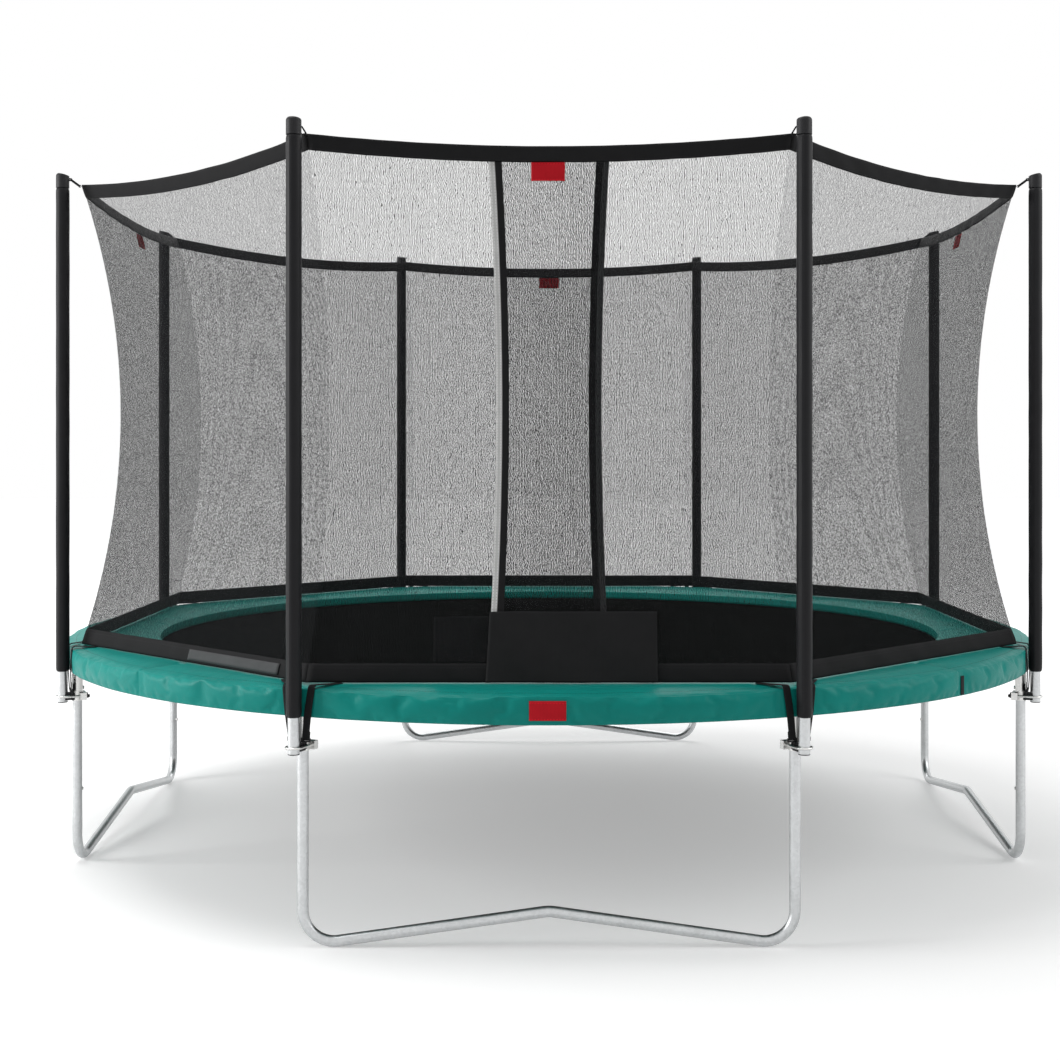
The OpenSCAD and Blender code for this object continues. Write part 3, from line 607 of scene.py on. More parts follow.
def flat_profile(w, t, along=8):
    """Flat strip with rounded edges: across its upper face and back across its lower one."""
    x = np.linspace(-1, 1, along)
    y = np.sqrt(np.clip(1 - np.abs(x) ** 12, 0.04, 1))
    return np.concatenate([np.stack([x * w / 2, y * t / 2], 1), np.stack([x * w / 2, -y * t / 2], 1)[::-1]])


def smooth_curve(path, steps=8):
    """Smooth curve through points: a cubic between each two, with slopes from their neighbours that are no
    steeper than the shorter step beside them."""
    ends = np.concatenate([path[:1], path, path[-1:]])
    slope = (ends[2:] - ends[:-2]) / 2
    reach = np.linalg.norm(np.diff(path, axis=0), axis=1)
    limit = np.minimum(np.append(reach, reach[-1]), np.insert(reach, 0, reach[0]))[:, None]
    slope *= np.minimum(1, limit / np.linalg.norm(slope, axis=1, keepdims=True))
    k = np.linspace(0, 1, steps + 1)[:-1, None, None]
    fine = ((2 * k**3 - 3 * k**2 + 1) * path[:-1] + (k**3 - 2 * k**2 + k) * slope[:-1]
            + (3 * k**2 - 2 * k**3) * path[1:] + (k**3 - k**2) * slope[1:])
    return np.concatenate([fine.transpose(1, 0, 2).reshape(-1, 3), path[-1:]])


def net_depth(i, z):
    """Distance of side i from the middle at height z: a circle that draws in at half height,
    apothem - draw + R - sqrt(R^2 - (z - mid)^2)."""
    n = settings().net
    c = math.cos(side_half(i))
    mid, half = (n.foot + n.head) / 2, (n.head - n.foot) / 2
    draw = n.draw_in * c
    bend = (half * half + draw * draw) / (2 * draw)
    return n.corner_r * c - draw + bend - np.sqrt(bend ** 2 - (z - mid) ** 2)


def half_width(i):
    """Half the width of side i at its top corners."""
    return settings().net.corner_r * math.sin(side_half(i))


def half_width_at(i, z):
    """Half the width of side i at height z."""
    return net_depth(i, z) * math.tan(side_half(i))


def top_edge(i, y):
    """Height of the sagging upper edge of side i, a parabola across the side."""
    n = settings().net
    return n.head - n.top_sag * (1 - (y / half_width(i)) ** 2)


def on_side(i, y, z, out=0.0):
    """Points of side i at y across it and height z, moved outwards by out."""
    return turned(np.stack([net_depth(i, z) + out, y, z], -1), side_angle(i))


class TRAMPOLINE_OT_frame(bpy.types.Operator):
    """Gives the steel and plastic nodes of the frame their finishes."""
    bl_idname = "trampoline.frame"
    bl_label = "Frame finishes"

    def execute(self, context):
        kinds = {"zinc": ("ring_tube", "leg_upright", "leg_base", "net_pole"),
                 "bright": ("t_joint", "clamp_u_bolts", "clamp_bars", "leg_screws"),
                 "plastic": ("pole_caps", "pole_end_plugs", "clamp_spacers", "clamp_nuts", "strap_hooks"),
                 "braid": ("top_ties",)}
        for name, node in frame["nodes"].items():
            for finish, starts in kinds.items():
                if name.startswith(starts):
                    for slot in node.material_slots:
                        slot.material = finish_of(finish)
        return {"FINISHED"}


class TRAMPOLINE_OT_sleeves(bpy.types.Operator):
    """Foam sleeves: r = R (1 - cinch at both ends) + soft dents, with a lap that steps out by 1.4 mm."""
    bl_idname = "trampoline.sleeves"
    bl_label = "Pole sleeves"

    def execute(self, context):
        f = settings().frame
        cinch_depth = cinch_run = 0.004
        dent = 0.0003
        cover = 0.0012
        lap = 0.0014
        lap_turn = 0.45
        lap_share = 0.012
        bore_share = 0.73
        end_run = 0.06
        grids, uvs = [], []
        end = np.array([0, 0.0015, 0.005, 0.012, 0.03])
        span = f.sleeve_head - f.sleeve_foot
        z = np.concatenate([end, np.linspace(end_run, span - end_run, 60), span - end[::-1]])
        a = np.concatenate([[0], np.linspace(lap_share, 1, 40)[:-1]]) * FULL_TURN
        zz, aa = np.meshgrid(z, a, indexing="ij")
        cinch = cinch_depth * np.exp(-np.minimum(zz, span - zz) / cinch_run)
        middle = np.array([f.pole_r, 0])
        rows = np.concatenate([[z[0]], z, [z[-1]]])
        for i in range(POSTS):
            dents = dent * ripples(zz, aa * 0.05, 40 + i, 7, 9, 45)
            r = f.sleeve_d / 2 - cover - cinch + dents - lap * aa / FULL_TURN
            # The lap faces the front, a little to the left of the middle of each pole
            turn = aa - math.pi / 2 - lap_turn - post_angle(i)
            local = np.stack([f.pole_r + r * np.cos(turn), r * np.sin(turn), f.sleeve_foot + zz], -1)
            inner = local[[0, -1]]
            inner[..., :2] = middle + (inner[..., :2] - middle) * bore_share
            local = np.concatenate([inner[:1], local, inner[1:]])
            grids.append(turned(local, post_angle(i)))
            uu, vv = np.meshgrid(np.append(a, FULL_TURN) * f.sleeve_d / 2, rows)
            uvs.append(np.stack([uu, vv], -1))
        piece = outward(surface("pole_sleeve_covers", grids, "sleeve", uvs, (False, True)))
        carried(piece, "frame", "foam_sleeve", "pole_sleeves")
        return {"FINISHED"}


def bounce_share(r):
    """Share of the bounce at radius r: 1 in the middle, the rim's share at the hem, then 0 at the ring."""
    m = settings().mat
    bowl = m.rim_share + (1 - m.rim_share) * (1 - np.clip(r / m.hem_r, 0, 1) ** 2) ** 1.2
    tip, still = m.bar_r + m.bow_r, m.head_r + 0.012
    spring = m.rim_share * np.clip((still - r) / (still - tip), 0, 1)
    return np.where(r > tip, spring, bowl)


class TRAMPOLINE_OT_mat(bpy.types.Operator):
    """Mat and hem: a square grid drawn out to a disc, (x sqrt(1 - y^2 / 2), y sqrt(1 - x^2 / 2)) R, and a
    folded hem whose profile is carried round the edge."""
    bl_idname = "trampoline.mat"
    bl_label = "Jumping mat"

    def execute(self, context):
        m, ring_h = settings().mat, settings().frame.ring_h
        tuck = 0.006
        tucked_r = m.mat_r + tuck
        k = np.linspace(-1, 1, 97)
        x, y = np.meshgrid(k, k, indexing="ij")
        disc = np.stack([x * np.sqrt(1 - y * y / 2), y * np.sqrt(1 - x * x / 2)], -1) * tucked_r
        top = np.concatenate([disc, np.full((*x.shape, 1), ring_h + m.mat_t / 2)], -1)
        mat = surface("jumping_mat_cloth", [top], "mat", [disc])
        thicken(mat, m.mat_t, -1.0)
        bent(mat, "mat", bounce_share(radius(top)), "mat_weave", "jumping_mat")
        # Hem: flat fold with a sewn dip near its inner edge and a fuller roll over the bars of the rings
        w = m.hem_r - m.mat_r
        s = np.linspace(0, 1, 22)
        roll = 0.72 + 0.28 * smooth(0.72, 0.9, s) - 0.3 * np.exp(-((s - 0.12) / 0.05) ** 2)
        ends = np.sqrt(np.clip(1 - np.abs(2 * s - 1) ** 24, 0.02, 1))
        up = np.stack([m.mat_r + s * w, roll * ends * m.hem_t / 2], -1)
        profile = np.concatenate([up, (up * [1, -1])[::-1]])
        around = np.linspace(0, FULL_TURN, 481)
        a = around[:-1, None]
        r = profile[None, :, 0]
        pucker = 1 + 0.05 * np.sin(a * SPRINGS) * smooth(m.mat_r + 0.6 * w, m.hem_r, r)
        ring = round_points(r, a, ring_h + profile[None, :, 1] * pucker)
        across = np.concatenate([s, s[::-1], s[:1]]) * w
        uv = np.stack(np.meshgrid(around * m.hem_r, across, indexing="ij"), -1)
        hem = outward(surface("mat_hem_fold", [ring], "band", [uv], (True, True)))
        bent(hem, "mat", bounce_share(radius(ring)), "black_webbing", "mat_hem")
        return {"FINISHED"}


class TRAMPOLINE_OT_springs(bpy.types.Operator):
    """Springs and rings: wire carried along a hook, a helix r(x) (cos a, sin a) that tapers at both ends,
    and a second hook; each ring is a bow closed by a bar."""
    bl_idname = "trampoline.springs"
    bl_label = "Springs and D rings"

    def execute(self, context):
        m, ring_h = settings().mat, settings().frame.ring_h
        wire, taper = m.spring_wire / 2, 0.016
        mat_hook = wire + 0.006
        ring_hook = wire + 0.004
        coil = m.spring_d / 2 - wire
        a = np.radians(np.linspace(250, 90, 12))[:-1]
        hook = np.stack([m.foot_r + mat_hook * np.cos(a), 0 * a, mat_hook * np.sin(a)], 1)
        k = np.linspace(0, 1, 10 * m.turns + 1)
        turn = math.pi / 2 + FULL_TURN * m.turns * k
        x = m.foot_r + (m.head_r - m.foot_r) * k
        r = mat_hook + (coil - mat_hook) * smooth(m.foot_r, m.foot_r + taper, x)
        r += (ring_hook - coil) * smooth(m.head_r - taper, m.head_r, x)
        helix = np.stack([x, r * np.cos(turn), r * np.sin(turn)], 1)
        b = np.radians(np.linspace(90, -90, 9))
        curl = np.stack([m.curl_r + ring_hook * np.cos(b), 0 * b, ring_hook * np.sin(b)], 1)
        tail = np.array([[m.curl_end, 0, -ring_hook]])
        path = np.concatenate([hook, helix, curl, tail])
        in_coil = smooth(0, 0.01, k) * smooth(0, 0.01, 1 - k)
        in_coil = np.concatenate([np.zeros(len(hook)), in_coil, np.zeros(len(curl) + 1)])
        side = np.stack([in_coil, 1 - in_coil, 0 * in_coil], 1)
        one = sweep(path, side, round_profile(m.spring_wire, 4)) + [0, 0, ring_h]
        step, quarter = FULL_TURN / SPRINGS, SPRINGS // 4
        for q in range(4):
            grids = [turned(one, (q * quarter + j + 0.5) * step) for j in range(quarter)]
            piece = surface(f"coil_springs_{q + 1}", grids, "bright", None, (False, True), True)
            bent(piece, "mat", bounce_share(radius(np.stack(grids))), "spring_steel",
                 *(["springs"] if q == 0 else []))
        c = np.radians(np.linspace(-90, 90, 19))
        bow = np.stack([m.bow_r * np.cos(c), m.bow_r * np.sin(c)], 1)
        bar = np.stack([np.zeros(5), np.linspace(m.bow_r, -m.bow_r, 7)[1:-1]], 1)
        loop = np.concatenate([bow, bar])
        loop = np.stack([m.bar_r + loop[:, 0], loop[:, 1], np.full(len(loop), ring_h)], 1)
        ring = sweep(loop, np.tile([0.0, 0.0, 1.0], (len(loop), 1)), round_profile(m.ring_wire, 6), True)
        grids = [turned(ring, (j + 0.5) * step) for j in range(SPRINGS)]
        rings = outward(surface("wire_d_rings", grids, "bright", None, (True, True)))
        held_r = np.minimum(radius(np.stack(grids)), m.bar_r + m.bow_r)
        bent(rings, "mat", bounce_share(held_r), "spring_steel", "d_rings")
        return {"FINISHED"}


def let_go(grid, held, slack, cap):
    """Points of a sewn cover after its cloth is let go between its seams, by cloth simulation. The grid
    wraps along its first axis. The cloth is cut 2.2% too large where it is slack and 0.3% elsewhere, and a
    small inner pressure lifts it in 20 steps without gravity. No point moves further than the cap."""
    steps = 20
    piece = surface("cover_cloth", [grid], "pad", wrap=(True, False))
    piece.data.flip_normals()
    for name, mask in (("held", held), ("taut", ~slack)):
        piece.vertex_groups.new(name=name).add(np.flatnonzero(mask).tolist(), 1.0, "REPLACE")
    cloth = piece.modifiers.new("cloth", "CLOTH")
    cloth.point_cache.frame_start = 1
    cloth.point_cache.frame_end = steps
    rules = {"vertex_group_mass": "held", "vertex_group_shrink": "taut", "shrink_min": -0.022,
             "shrink_max": -0.003, "use_pressure": True, "uniform_pressure_force": 3.0, "mass": 0.05,
             "quality": 5, "bending_stiffness": 2.0, "tension_damping": 2.0, "compression_damping": 2.0,
             "shear_damping": 2.0, "bending_damping": 0.1}
    for name, value in rules.items():
        setattr(cloth.settings, name, value)
    cloth.settings.effector_weights.gravity = 0
    for step in range(1, steps + 1):
        bpy.context.scene.frame_set(step)
    moved = np.empty(grid.size, np.float32)
    piece.evaluated_get(bpy.context.evaluated_depsgraph_get()).data.vertices.foreach_get("co", moved)
    mesh = piece.data
    bpy.data.objects.remove(piece)
    bpy.data.meshes.remove(mesh)
    bpy.context.scene.frame_set(1)
    move = moved.reshape(grid.shape) - grid
    size = np.maximum(np.linalg.norm(move, axis=-1, keepdims=True), 1e-9)
    return grid + move * cap * np.tanh(size / cap) / size


class TRAMPOLINE_OT_pad(bpy.types.Operator):
    """Edge pad with its skirt: one closed profile carried round the ring, its top crowned and its seams
    drawn down. Its cloth is let go between the seams, the straps and the tags that hold it."""
    bl_idname = "trampoline.pad"
    bl_label = "Edge pad"

    def execute(self, context):
        p = settings().pad
        mid, half = (p.inner_r + p.outer_r) / 2, (p.outer_r - p.inner_r) / 2
        e = p.edge
        row_gap = 0.004
        seam_gap = 0.012
        fold_t = 0.003
        fold_down = 0.002
        under_out = 0.02
        under_in = 0.012
        # The profile, as pairs of radius and height: up the lip, across the top, down the skirt and back
        q = np.radians(np.linspace(0, 90, 7))
        lip = np.stack([np.full(4, p.inner_r), np.linspace(p.lip_foot, p.head - e - row_gap, 4)], 1)
        round_in = np.stack([p.inner_r + e - e * np.sin(q[::-1]), p.head - e + e * np.cos(q[::-1])], 1)
        inner = np.concatenate([lip, round_in])
        seam = p.outer_r - p.seam_in
        beside_seam = seam + np.array([-6, -3, -1, 1, 3, 6, 12]) * MM
        r = np.concatenate([np.linspace(p.inner_r + e, seam - seam_gap, 16)[1:], beside_seam])
        top = np.stack([r, np.full(len(r), p.head)], 1)
        outer = np.stack([p.outer_r - e + e * np.sin(q), p.head - e + e * np.cos(q)], 1)
        z = np.linspace(p.head - e, p.skirt_foot, 16)[1:]
        face = np.stack([np.full(len(z), p.outer_r), z], 1)
        back_r = p.outer_r - p.skirt_t
        back = np.array([[back_r, p.skirt_foot], [back_r, p.foot - row_gap]])
        under = np.stack([np.linspace(p.outer_r - under_out, p.inner_r + under_in, 4), np.full(4, p.foot)], 1)
        fold = np.array([[p.inner_r + fold_t, p.foot - fold_down], [p.inner_r + fold_t, p.lip_foot]])
        profile = np.concatenate([inner, top, outer, face, back, under, fold])
        steps = np.linalg.norm(np.diff(np.concatenate([profile, profile[:1]]), axis=0), axis=1)
        v = np.concatenate([[0], np.cumsum(steps)])
        v -= v[len(inner) + len(top) + len(outer) // 2]
        # Columns round the ring, closer beside the joins of the four quarters and a little off them elsewhere
        off_join, join_w = 0.0017, 0.004
        joins = np.radians([-135, -45, 45, 135])
        near = (joins[:, None] + np.array([-6, -2, 0, 2, 6])[None] * MM / p.outer_r).ravel()
        a = np.sort(np.concatenate([np.linspace(-math.pi, math.pi, 1201)[:-1] + off_join, near]))
        rr, zz = (np.broadcast_to(profile[None, :, c], (len(a), len(profile))).copy() for c in (0, 1))
        u = a[:, None] * p.outer_r
        on_top = smooth(p.head - e, p.head - 0.5 * MM, zz)
        row = np.arange(len(profile))[None, :]
        last = len(inner) + len(top) + len(outer) + len(face)
        on_face = (row >= last - len(face)) & (row < last)
        gap = np.abs((a[:, None] - joins[None, :]) * p.outer_r).min(1)[:, None]
        dip = np.exp(-(gap / join_w) ** 2)
        sink = 0.0045
        crown = 0.005
        join_dip = 0.002
        ripple = 0.0011
        wave = 0.0008
        zz -= on_top * (sink + crown * np.abs((rr - mid) / half).clip(0, 1) ** 3 + join_dip * dip)
        zz -= on_top * ripple * ripples(u, rr * 3, 3, 9, 4, 26)
        # Faint waves both ways give the slack cloth its first creases
        waves = ripples(u, zz * 1.5, 12, 5, 12, 50) + ripples(-u, zz * 1.5, 13, 5, 12, 50)
        rr += wave * (1 + 0.6 * waves) * on_face
        # Straps and sleeves press the skirt at the posts, and the two tags are sewn on it
        places = np.array([post_angle(i) for i in range(POSTS)] + [-math.pi / 2, BLACK_TAG_ANGLE])
        post_reach = 0.062
        tag_reach = 0.06
        black_reach = 0.014
        reach = np.array([post_reach] * POSTS + [tag_reach, black_reach])
        off = np.abs((a[:, None] - places + math.pi) % FULL_TURN - math.pi) * p.outer_r
        pressed = (off < reach).any(1)[:, None] & (row >= last - len(face) - len(outer))
        sewn = (np.abs(profile[:, 0] - seam) < 1.2 * MM) & (profile[:, 1] > p.head - MM)
        held = (row == len(lip)) | (row == last - 1) | sewn | pressed | (dip > 0.5)
        rr = np.where(pressed & on_face, p.outer_r, rr)
        grid = round_points(rr, a[:, None], zz)
        cover = slice(len(lip), last)
        slack = on_face & ~held
        grid[:, cover] = let_go(grid[:, cover], held[:, cover], slack[:, cover], p.crease)
        # The cloth lies on the ring tube below it and under the net above it
        out = np.linalg.norm(grid[..., :2], axis=-1)
        grid[..., :2] *= np.where(on_face, np.maximum(out, p.outer_r) / out, 1)[..., None]
        grid[..., 2] = np.minimum(grid[..., 2], p.head)
        uu = np.append(a, a[0] + FULL_TURN)[:, None] * p.outer_r
        uv = np.stack(np.broadcast_arrays(uu, v[None, :]), -1)
        piece = outward(surface("edge_pad_cover", [grid], "pad", [uv], (True, True)))
        carried(piece, "frame", "pad_cover", "safety_pad", "pad_skirt")
        return {"FINISHED"}


def net_panel(i, fixed, share):
    """Grid and UV in metres of the open net of side i, between its bands: y = fixed + share w, where w
    is half the width of the side."""
    n = settings().net
    rows = np.linspace(0, 1, 49)[:, None]
    y = fixed + share * half_width(i)
    z = (n.foot + n.bottom_band) * (1 - rows) + (top_edge(i, y) - n.top_band) * rows
    y = fixed + share * half_width_at(i, z)
    return on_side(i, y, z), np.stack([y + i * SIDE_SHIFT, z], -1)


class TRAMPOLINE_OT_net(bpy.types.Operator):
    """Fixed net: one sheet a side, x = depth(z), |y| <= x tan(half), hung between the two bands. Both faces
    of the knit are there, so that it closes up where it is seen at a slant."""
    bl_idname = "trampoline.net"
    bl_label = "Net walls"

    def execute(self, context):
        n = settings().net
        panels = [net_panel(i, 0.0, np.linspace(-1, 1, 33)[None]) for i in range(1, POSTS)]
        t = np.linspace(0, 1, 17)[None]
        panels += [net_panel(0, s * n.seam * (1 - t), s * t) for s in (-1, 1)]
        grids, uvs = zip(*panels)
        piece = surface("net_wall_sheets", grids, "net", uvs)
        thicken(piece, n.knit_t, rim=False)
        carried(piece, "frame", "net_mesh", "net_walls")
        return {"FINISHED"}


def band_strip(i, upper, seed):
    """Closed strip along the upper or the lower edge of side i: an outer and an inner face with rounded
    edges, puffed and puckered a little."""
    n = settings().net
    puff = 0.0012
    s = np.linspace(-1, 1, 73)[:, None]
    profile = flat_profile(1.0, n.band_t, 9)
    rows = profile[:, 0] + 0.5
    y0 = s * half_width(i)
    low = top_edge(i, y0) - n.top_band if upper else np.full_like(y0, n.foot)
    high = top_edge(i, y0) if upper else low + n.bottom_band
    z = low * (1 - rows[None]) + high * rows[None]
    y = s * half_width_at(i, z)
    wave = puff * ripples(y, z * 4, seed, 8, 8, 60)
    out = profile[None, :, 1] + wave + puff * np.sin(math.pi * rows)[None] * np.sign(profile[None, :, 1])
    uu = np.broadcast_to(y[:, :1], (len(s), len(rows) + 1)) + i * SIDE_SHIFT
    vv = np.broadcast_to(np.append(rows, rows[0])[None] * np.mean(high - low), uu.shape)
    return on_side(i, y, z, out), np.stack([uu, vv], -1)


class TRAMPOLINE_OT_bands(bpy.types.Operator):
    """Bands of the net: closed strips along its upper and lower edges, with a loop at each top corner."""
    bl_idname = "trampoline.bands"
    bl_label = "Net bands"

    def execute(self, context):
        n = settings().net
        for place_name, seed in (("top", 60), ("bottom", 80)):
            grids, uvs = zip(*[band_strip(i, place_name == "top", seed + i) for i in range(POSTS)])
            band = outward(surface(f"net_{place_name}_webbing", grids, "band", uvs, (False, True), True))
            carried(band, "frame", "black_webbing", f"net_{place_name}_band")
        # Loops that the elastic cords go through: a flat strip carried round a circle
        loop_r = 0.0043
        loop_w = 0.009
        loop_t = 0.0016
        loop_out = 0.0053
        loop_drop = 0.006
        a = np.linspace(0, FULL_TURN, 21)[:-1]
        x = n.corner_r + n.band_t / 2 + loop_out
        path = np.stack([x + loop_r * np.cos(a), 0 * a, n.head - loop_drop + loop_r * np.sin(a)], 1)
        loop = sweep(path, np.tile([0.0, 1.0, 0.0], (20, 1)), flat_profile(loop_w, loop_t, 4), True)
        grids = [turned(loop, post_angle(i)) for i in range(POSTS)]
        uv = np.stack(np.meshgrid(np.arange(21) * 0.0015, np.arange(9) * 0.002, indexing="ij"), -1)
        loops = outward(surface("corner_loops", grids, "band", [uv] * POSTS, (True, True)))
        carried(loops, "frame", "black_webbing")
        return {"FINISHED"}


def free_edge(z):
    """Place of a free edge across the front at height z, a parabola that bows back at half height."""
    n = settings().net
    mid, half = (n.foot + n.head) / 2, (n.head - n.foot) / 2
    return -n.edge + n.bow * (1 - ((z - mid) / half) ** 2)


def beside_edge(distance):
    """Line across the front that runs that far inside a free edge."""
    def line(z):
        return free_edge(z) + distance
    return line


def level(value):
    """Line that keeps one value."""
    def line(place_on_it):
        return np.full_like(place_on_it, value)
    return line


def under_band(tuck):
    """Line along the lower edge of the top band of the front, tucked up by that much."""
    def line(x):
        return top_edge(0, x) - settings().net.top_band + tuck
    return line


def flap_share(x, z):
    """How far a point of a flap follows its hinge: 0 at the seam, the top and the foot, and 1 in the
    middle of the free edge."""
    n = settings().net
    foot_share = 0.24
    top_share = 0.5
    top_end = 0.94
    across = smooth(0, 1, (n.seam - x) / (n.seam + n.edge - n.bow))
    t = (z - n.foot) / (n.head - n.foot)
    return across * smooth(0, foot_share, t) * smooth(0, top_share, top_end - t)


def flap_sheet(left, right, low, high, shape):
    """Grid of a flap between two lines across the front, left(z) and right(z), at height low to high(x).
    Three rounds settle x and z on each other."""
    rows, t = np.linspace(0, 1, shape[0])[:, None], np.linspace(0, 1, shape[1])[None, :]
    z = np.full(shape, low) * (1 - rows) + high(np.zeros((1, 1))) * rows
    for _ in range(3):
        x = left(z) * (1 - t) + right(z) * t
        z = low * (1 - rows) + high(x) * rows
    return x, z


class TRAMPOLINE_OT_flaps(bpy.types.Operator):
    """Entrance flaps: an outer flap sewn at the right and an inner one sewn at the left, each a net sheet
    with webbing and tape along its bowed free edge and a plain panel at its foot."""
    bl_idname = "trampoline.flaps"
    bl_label = "Entrance flaps"

    def execute(self, context):
        n = settings().net
        gap = 0.0005
        lap = 0.001
        trim_off = 0.0016
        tape_off = 0.0009
        panel_lap = 0.004
        cloth_t, black = 0.0014, "black_webbing"
        foot = n.foot + n.bottom_band + gap
        # Each panel: its sewn side, its foot, its head, how far out it hangs and how deep its folds are
        outer_panel = (0.333, n.foot + 0.0015, n.foot + n.panel_h, 0.010, 0.0052)
        inner_panel = (0.356, foot + 0.001, n.foot + n.panel_h - 0.018, -0.009, 0.0044)
        # The inner flap's tape takes the grey finish, which is painted shade: a dark copy of the pale tape of
        # the outer flap, as it looks behind that flap's net
        for name, s, tuck, tape, panel in (("outer", 1, -gap, "tape", outer_panel),
                                           ("inner", -1, 0.025, "grey", inner_panel)):
            out = s * n.layer
            # The threads of the inner flap lie half beside those of the outer one
            lag = 0.0 if s > 0 else n.thread / 2
            high = under_band(tuck)
            panel_side, panel_foot, panel_head, panel_out, panel_fold = panel
            trim, strip = beside_edge(n.tape_w), beside_edge(0.0)
            pieces = [("net", "net", beside_edge(n.trim_w), level(n.seam), foot, high, out,
                       (49, 17), 0.0, "net_mesh"),
                      ("webbing", "band", trim, beside_edge(n.trim_w + lap), foot, high, out + s * trim_off,
                       (61, 7), 0.0006, black),
                      ("tape", tape, strip, trim, foot, high, out + s * tape_off, (61, 7), 0.0007, black),
                      ("panel", "panel", beside_edge(-panel_lap), level(panel_side), panel_foot,
                       level(panel_head), out + panel_out, (31, 61), panel_fold, black)]
            for kind, finish, left, right, low, top, at, shape, crease, slot_name in pieces:
                x, z = flap_sheet(left, right, low, top, shape)
                wave = crease * ripples(x, z * 2.5, 5 + s, 10, 8, 38)
                grid = on_side(0, s * x, z, at + wave)
                along_edge = kind in ("webbing", "tape")
                uv = np.stack([z, x - left(z)] if along_edge else [s * x + lag, z], -1)
                piece = surface(f"flap_{name}_{kind}", [grid], finish, [uv])
                node = {"net": [f"door_{name}_net"], "webbing": [f"door_{name}_trim"]}.get(kind, [])
                bent(piece, f"door_{name}", flap_share(x, z), slot_name, *node)
                if kind == "net":
                    thicken(piece, n.knit_t, rim=False)
                else:
                    thicken(piece, cloth_t)
        return {"FINISHED"}


class TRAMPOLINE_OT_straps(bpy.types.Operator):
    """Straps: a flat strip carried along a smooth curve from under the bottom band, over the edge of the
    pad, down the skirt and round the rail of a flat hook, where a tail goes back up."""
    bl_idname = "trampoline.straps"
    bl_label = "Hold down straps"

    def execute(self, context):
        f, p, n = settings().frame, settings().pad, settings().net
        t2 = f.strap_t / 2
        clear = 0.0003
        rail_half = 0.0018
        slack = 0.0035
        hang = 0.45
        points = 8
        on_pad, wrap = p.head + clear + t2, p.edge + clear + t2
        edge_x, face_x = p.outer_r - p.edge, p.outer_r + clear + t2
        turn = rail_half + t2
        a = np.radians(np.linspace(90, 0, 6))
        over = np.stack([edge_x + wrap * np.cos(a), f.strap_y + 0 * a, p.head - p.edge + wrap * np.sin(a)], 1)
        b = np.radians(np.linspace(0, -180, 7))
        rail_x = face_x - turn
        back = np.stack([rail_x + turn * np.cos(b), f.bolt_half + 0 * b, f.strap_foot + turn * np.sin(b)], 1)
        mid = (over[-1] * (1 - hang) + back[0] * hang) + [slack, 0, 0]
        tail = back[-1] + [-0.001, 0.001, f.strap_tail]
        width = np.concatenate([np.linspace(0, f.strap_w, points), np.linspace(f.strap_w, 0, points), [0]])
        grids, uvs = [], []
        for i in range(POSTS):
            for s in (-1, 1):
                h = side_half(i if s > 0 else (i + 7) % POSTS)
                start = [n.corner_r - f.strap_run * math.sin(h), f.strap_run * math.cos(h), on_pad]
                fine = smooth_curve(np.concatenate([[start], over, [mid], back, [tail]])) * [1, s, 1]
                across = np.tile([0.0, 1.0, 0.0], (len(fine), 1))
                strip = sweep(fine, across, flat_profile(f.strap_w, f.strap_t, points))
                grids.append(turned(strip, post_angle(i)))
                run = np.concatenate([[0], np.cumsum(np.linalg.norm(np.diff(fine, axis=0), axis=1))])
                uvs.append(np.stack(np.meshgrid(run, width, indexing="ij"), -1))
        piece = outward(surface("hold_down_straps", grids, "strap", uvs, (False, True), True))
        carried(piece, "frame", "black_webbing", "bottom_straps")
        return {"FINISHED"}


def tag_grid(width, height, bulge, seed):
    """A small cloth tag in its own plane: x across, y up, lifted by a soft bulge and ripples."""
    x, y = np.meshgrid(np.linspace(-0.5, 0.5, 15), np.linspace(0, 1, 9))
    lift = bulge * (1 - y) * (0.6 + 0.4 * np.sin(math.pi * (x + 0.5)))
    lift = lift + 0.0006 * ripples(x * width, y * height, seed, 5, 20, 70)
    return x * width, y * height, lift


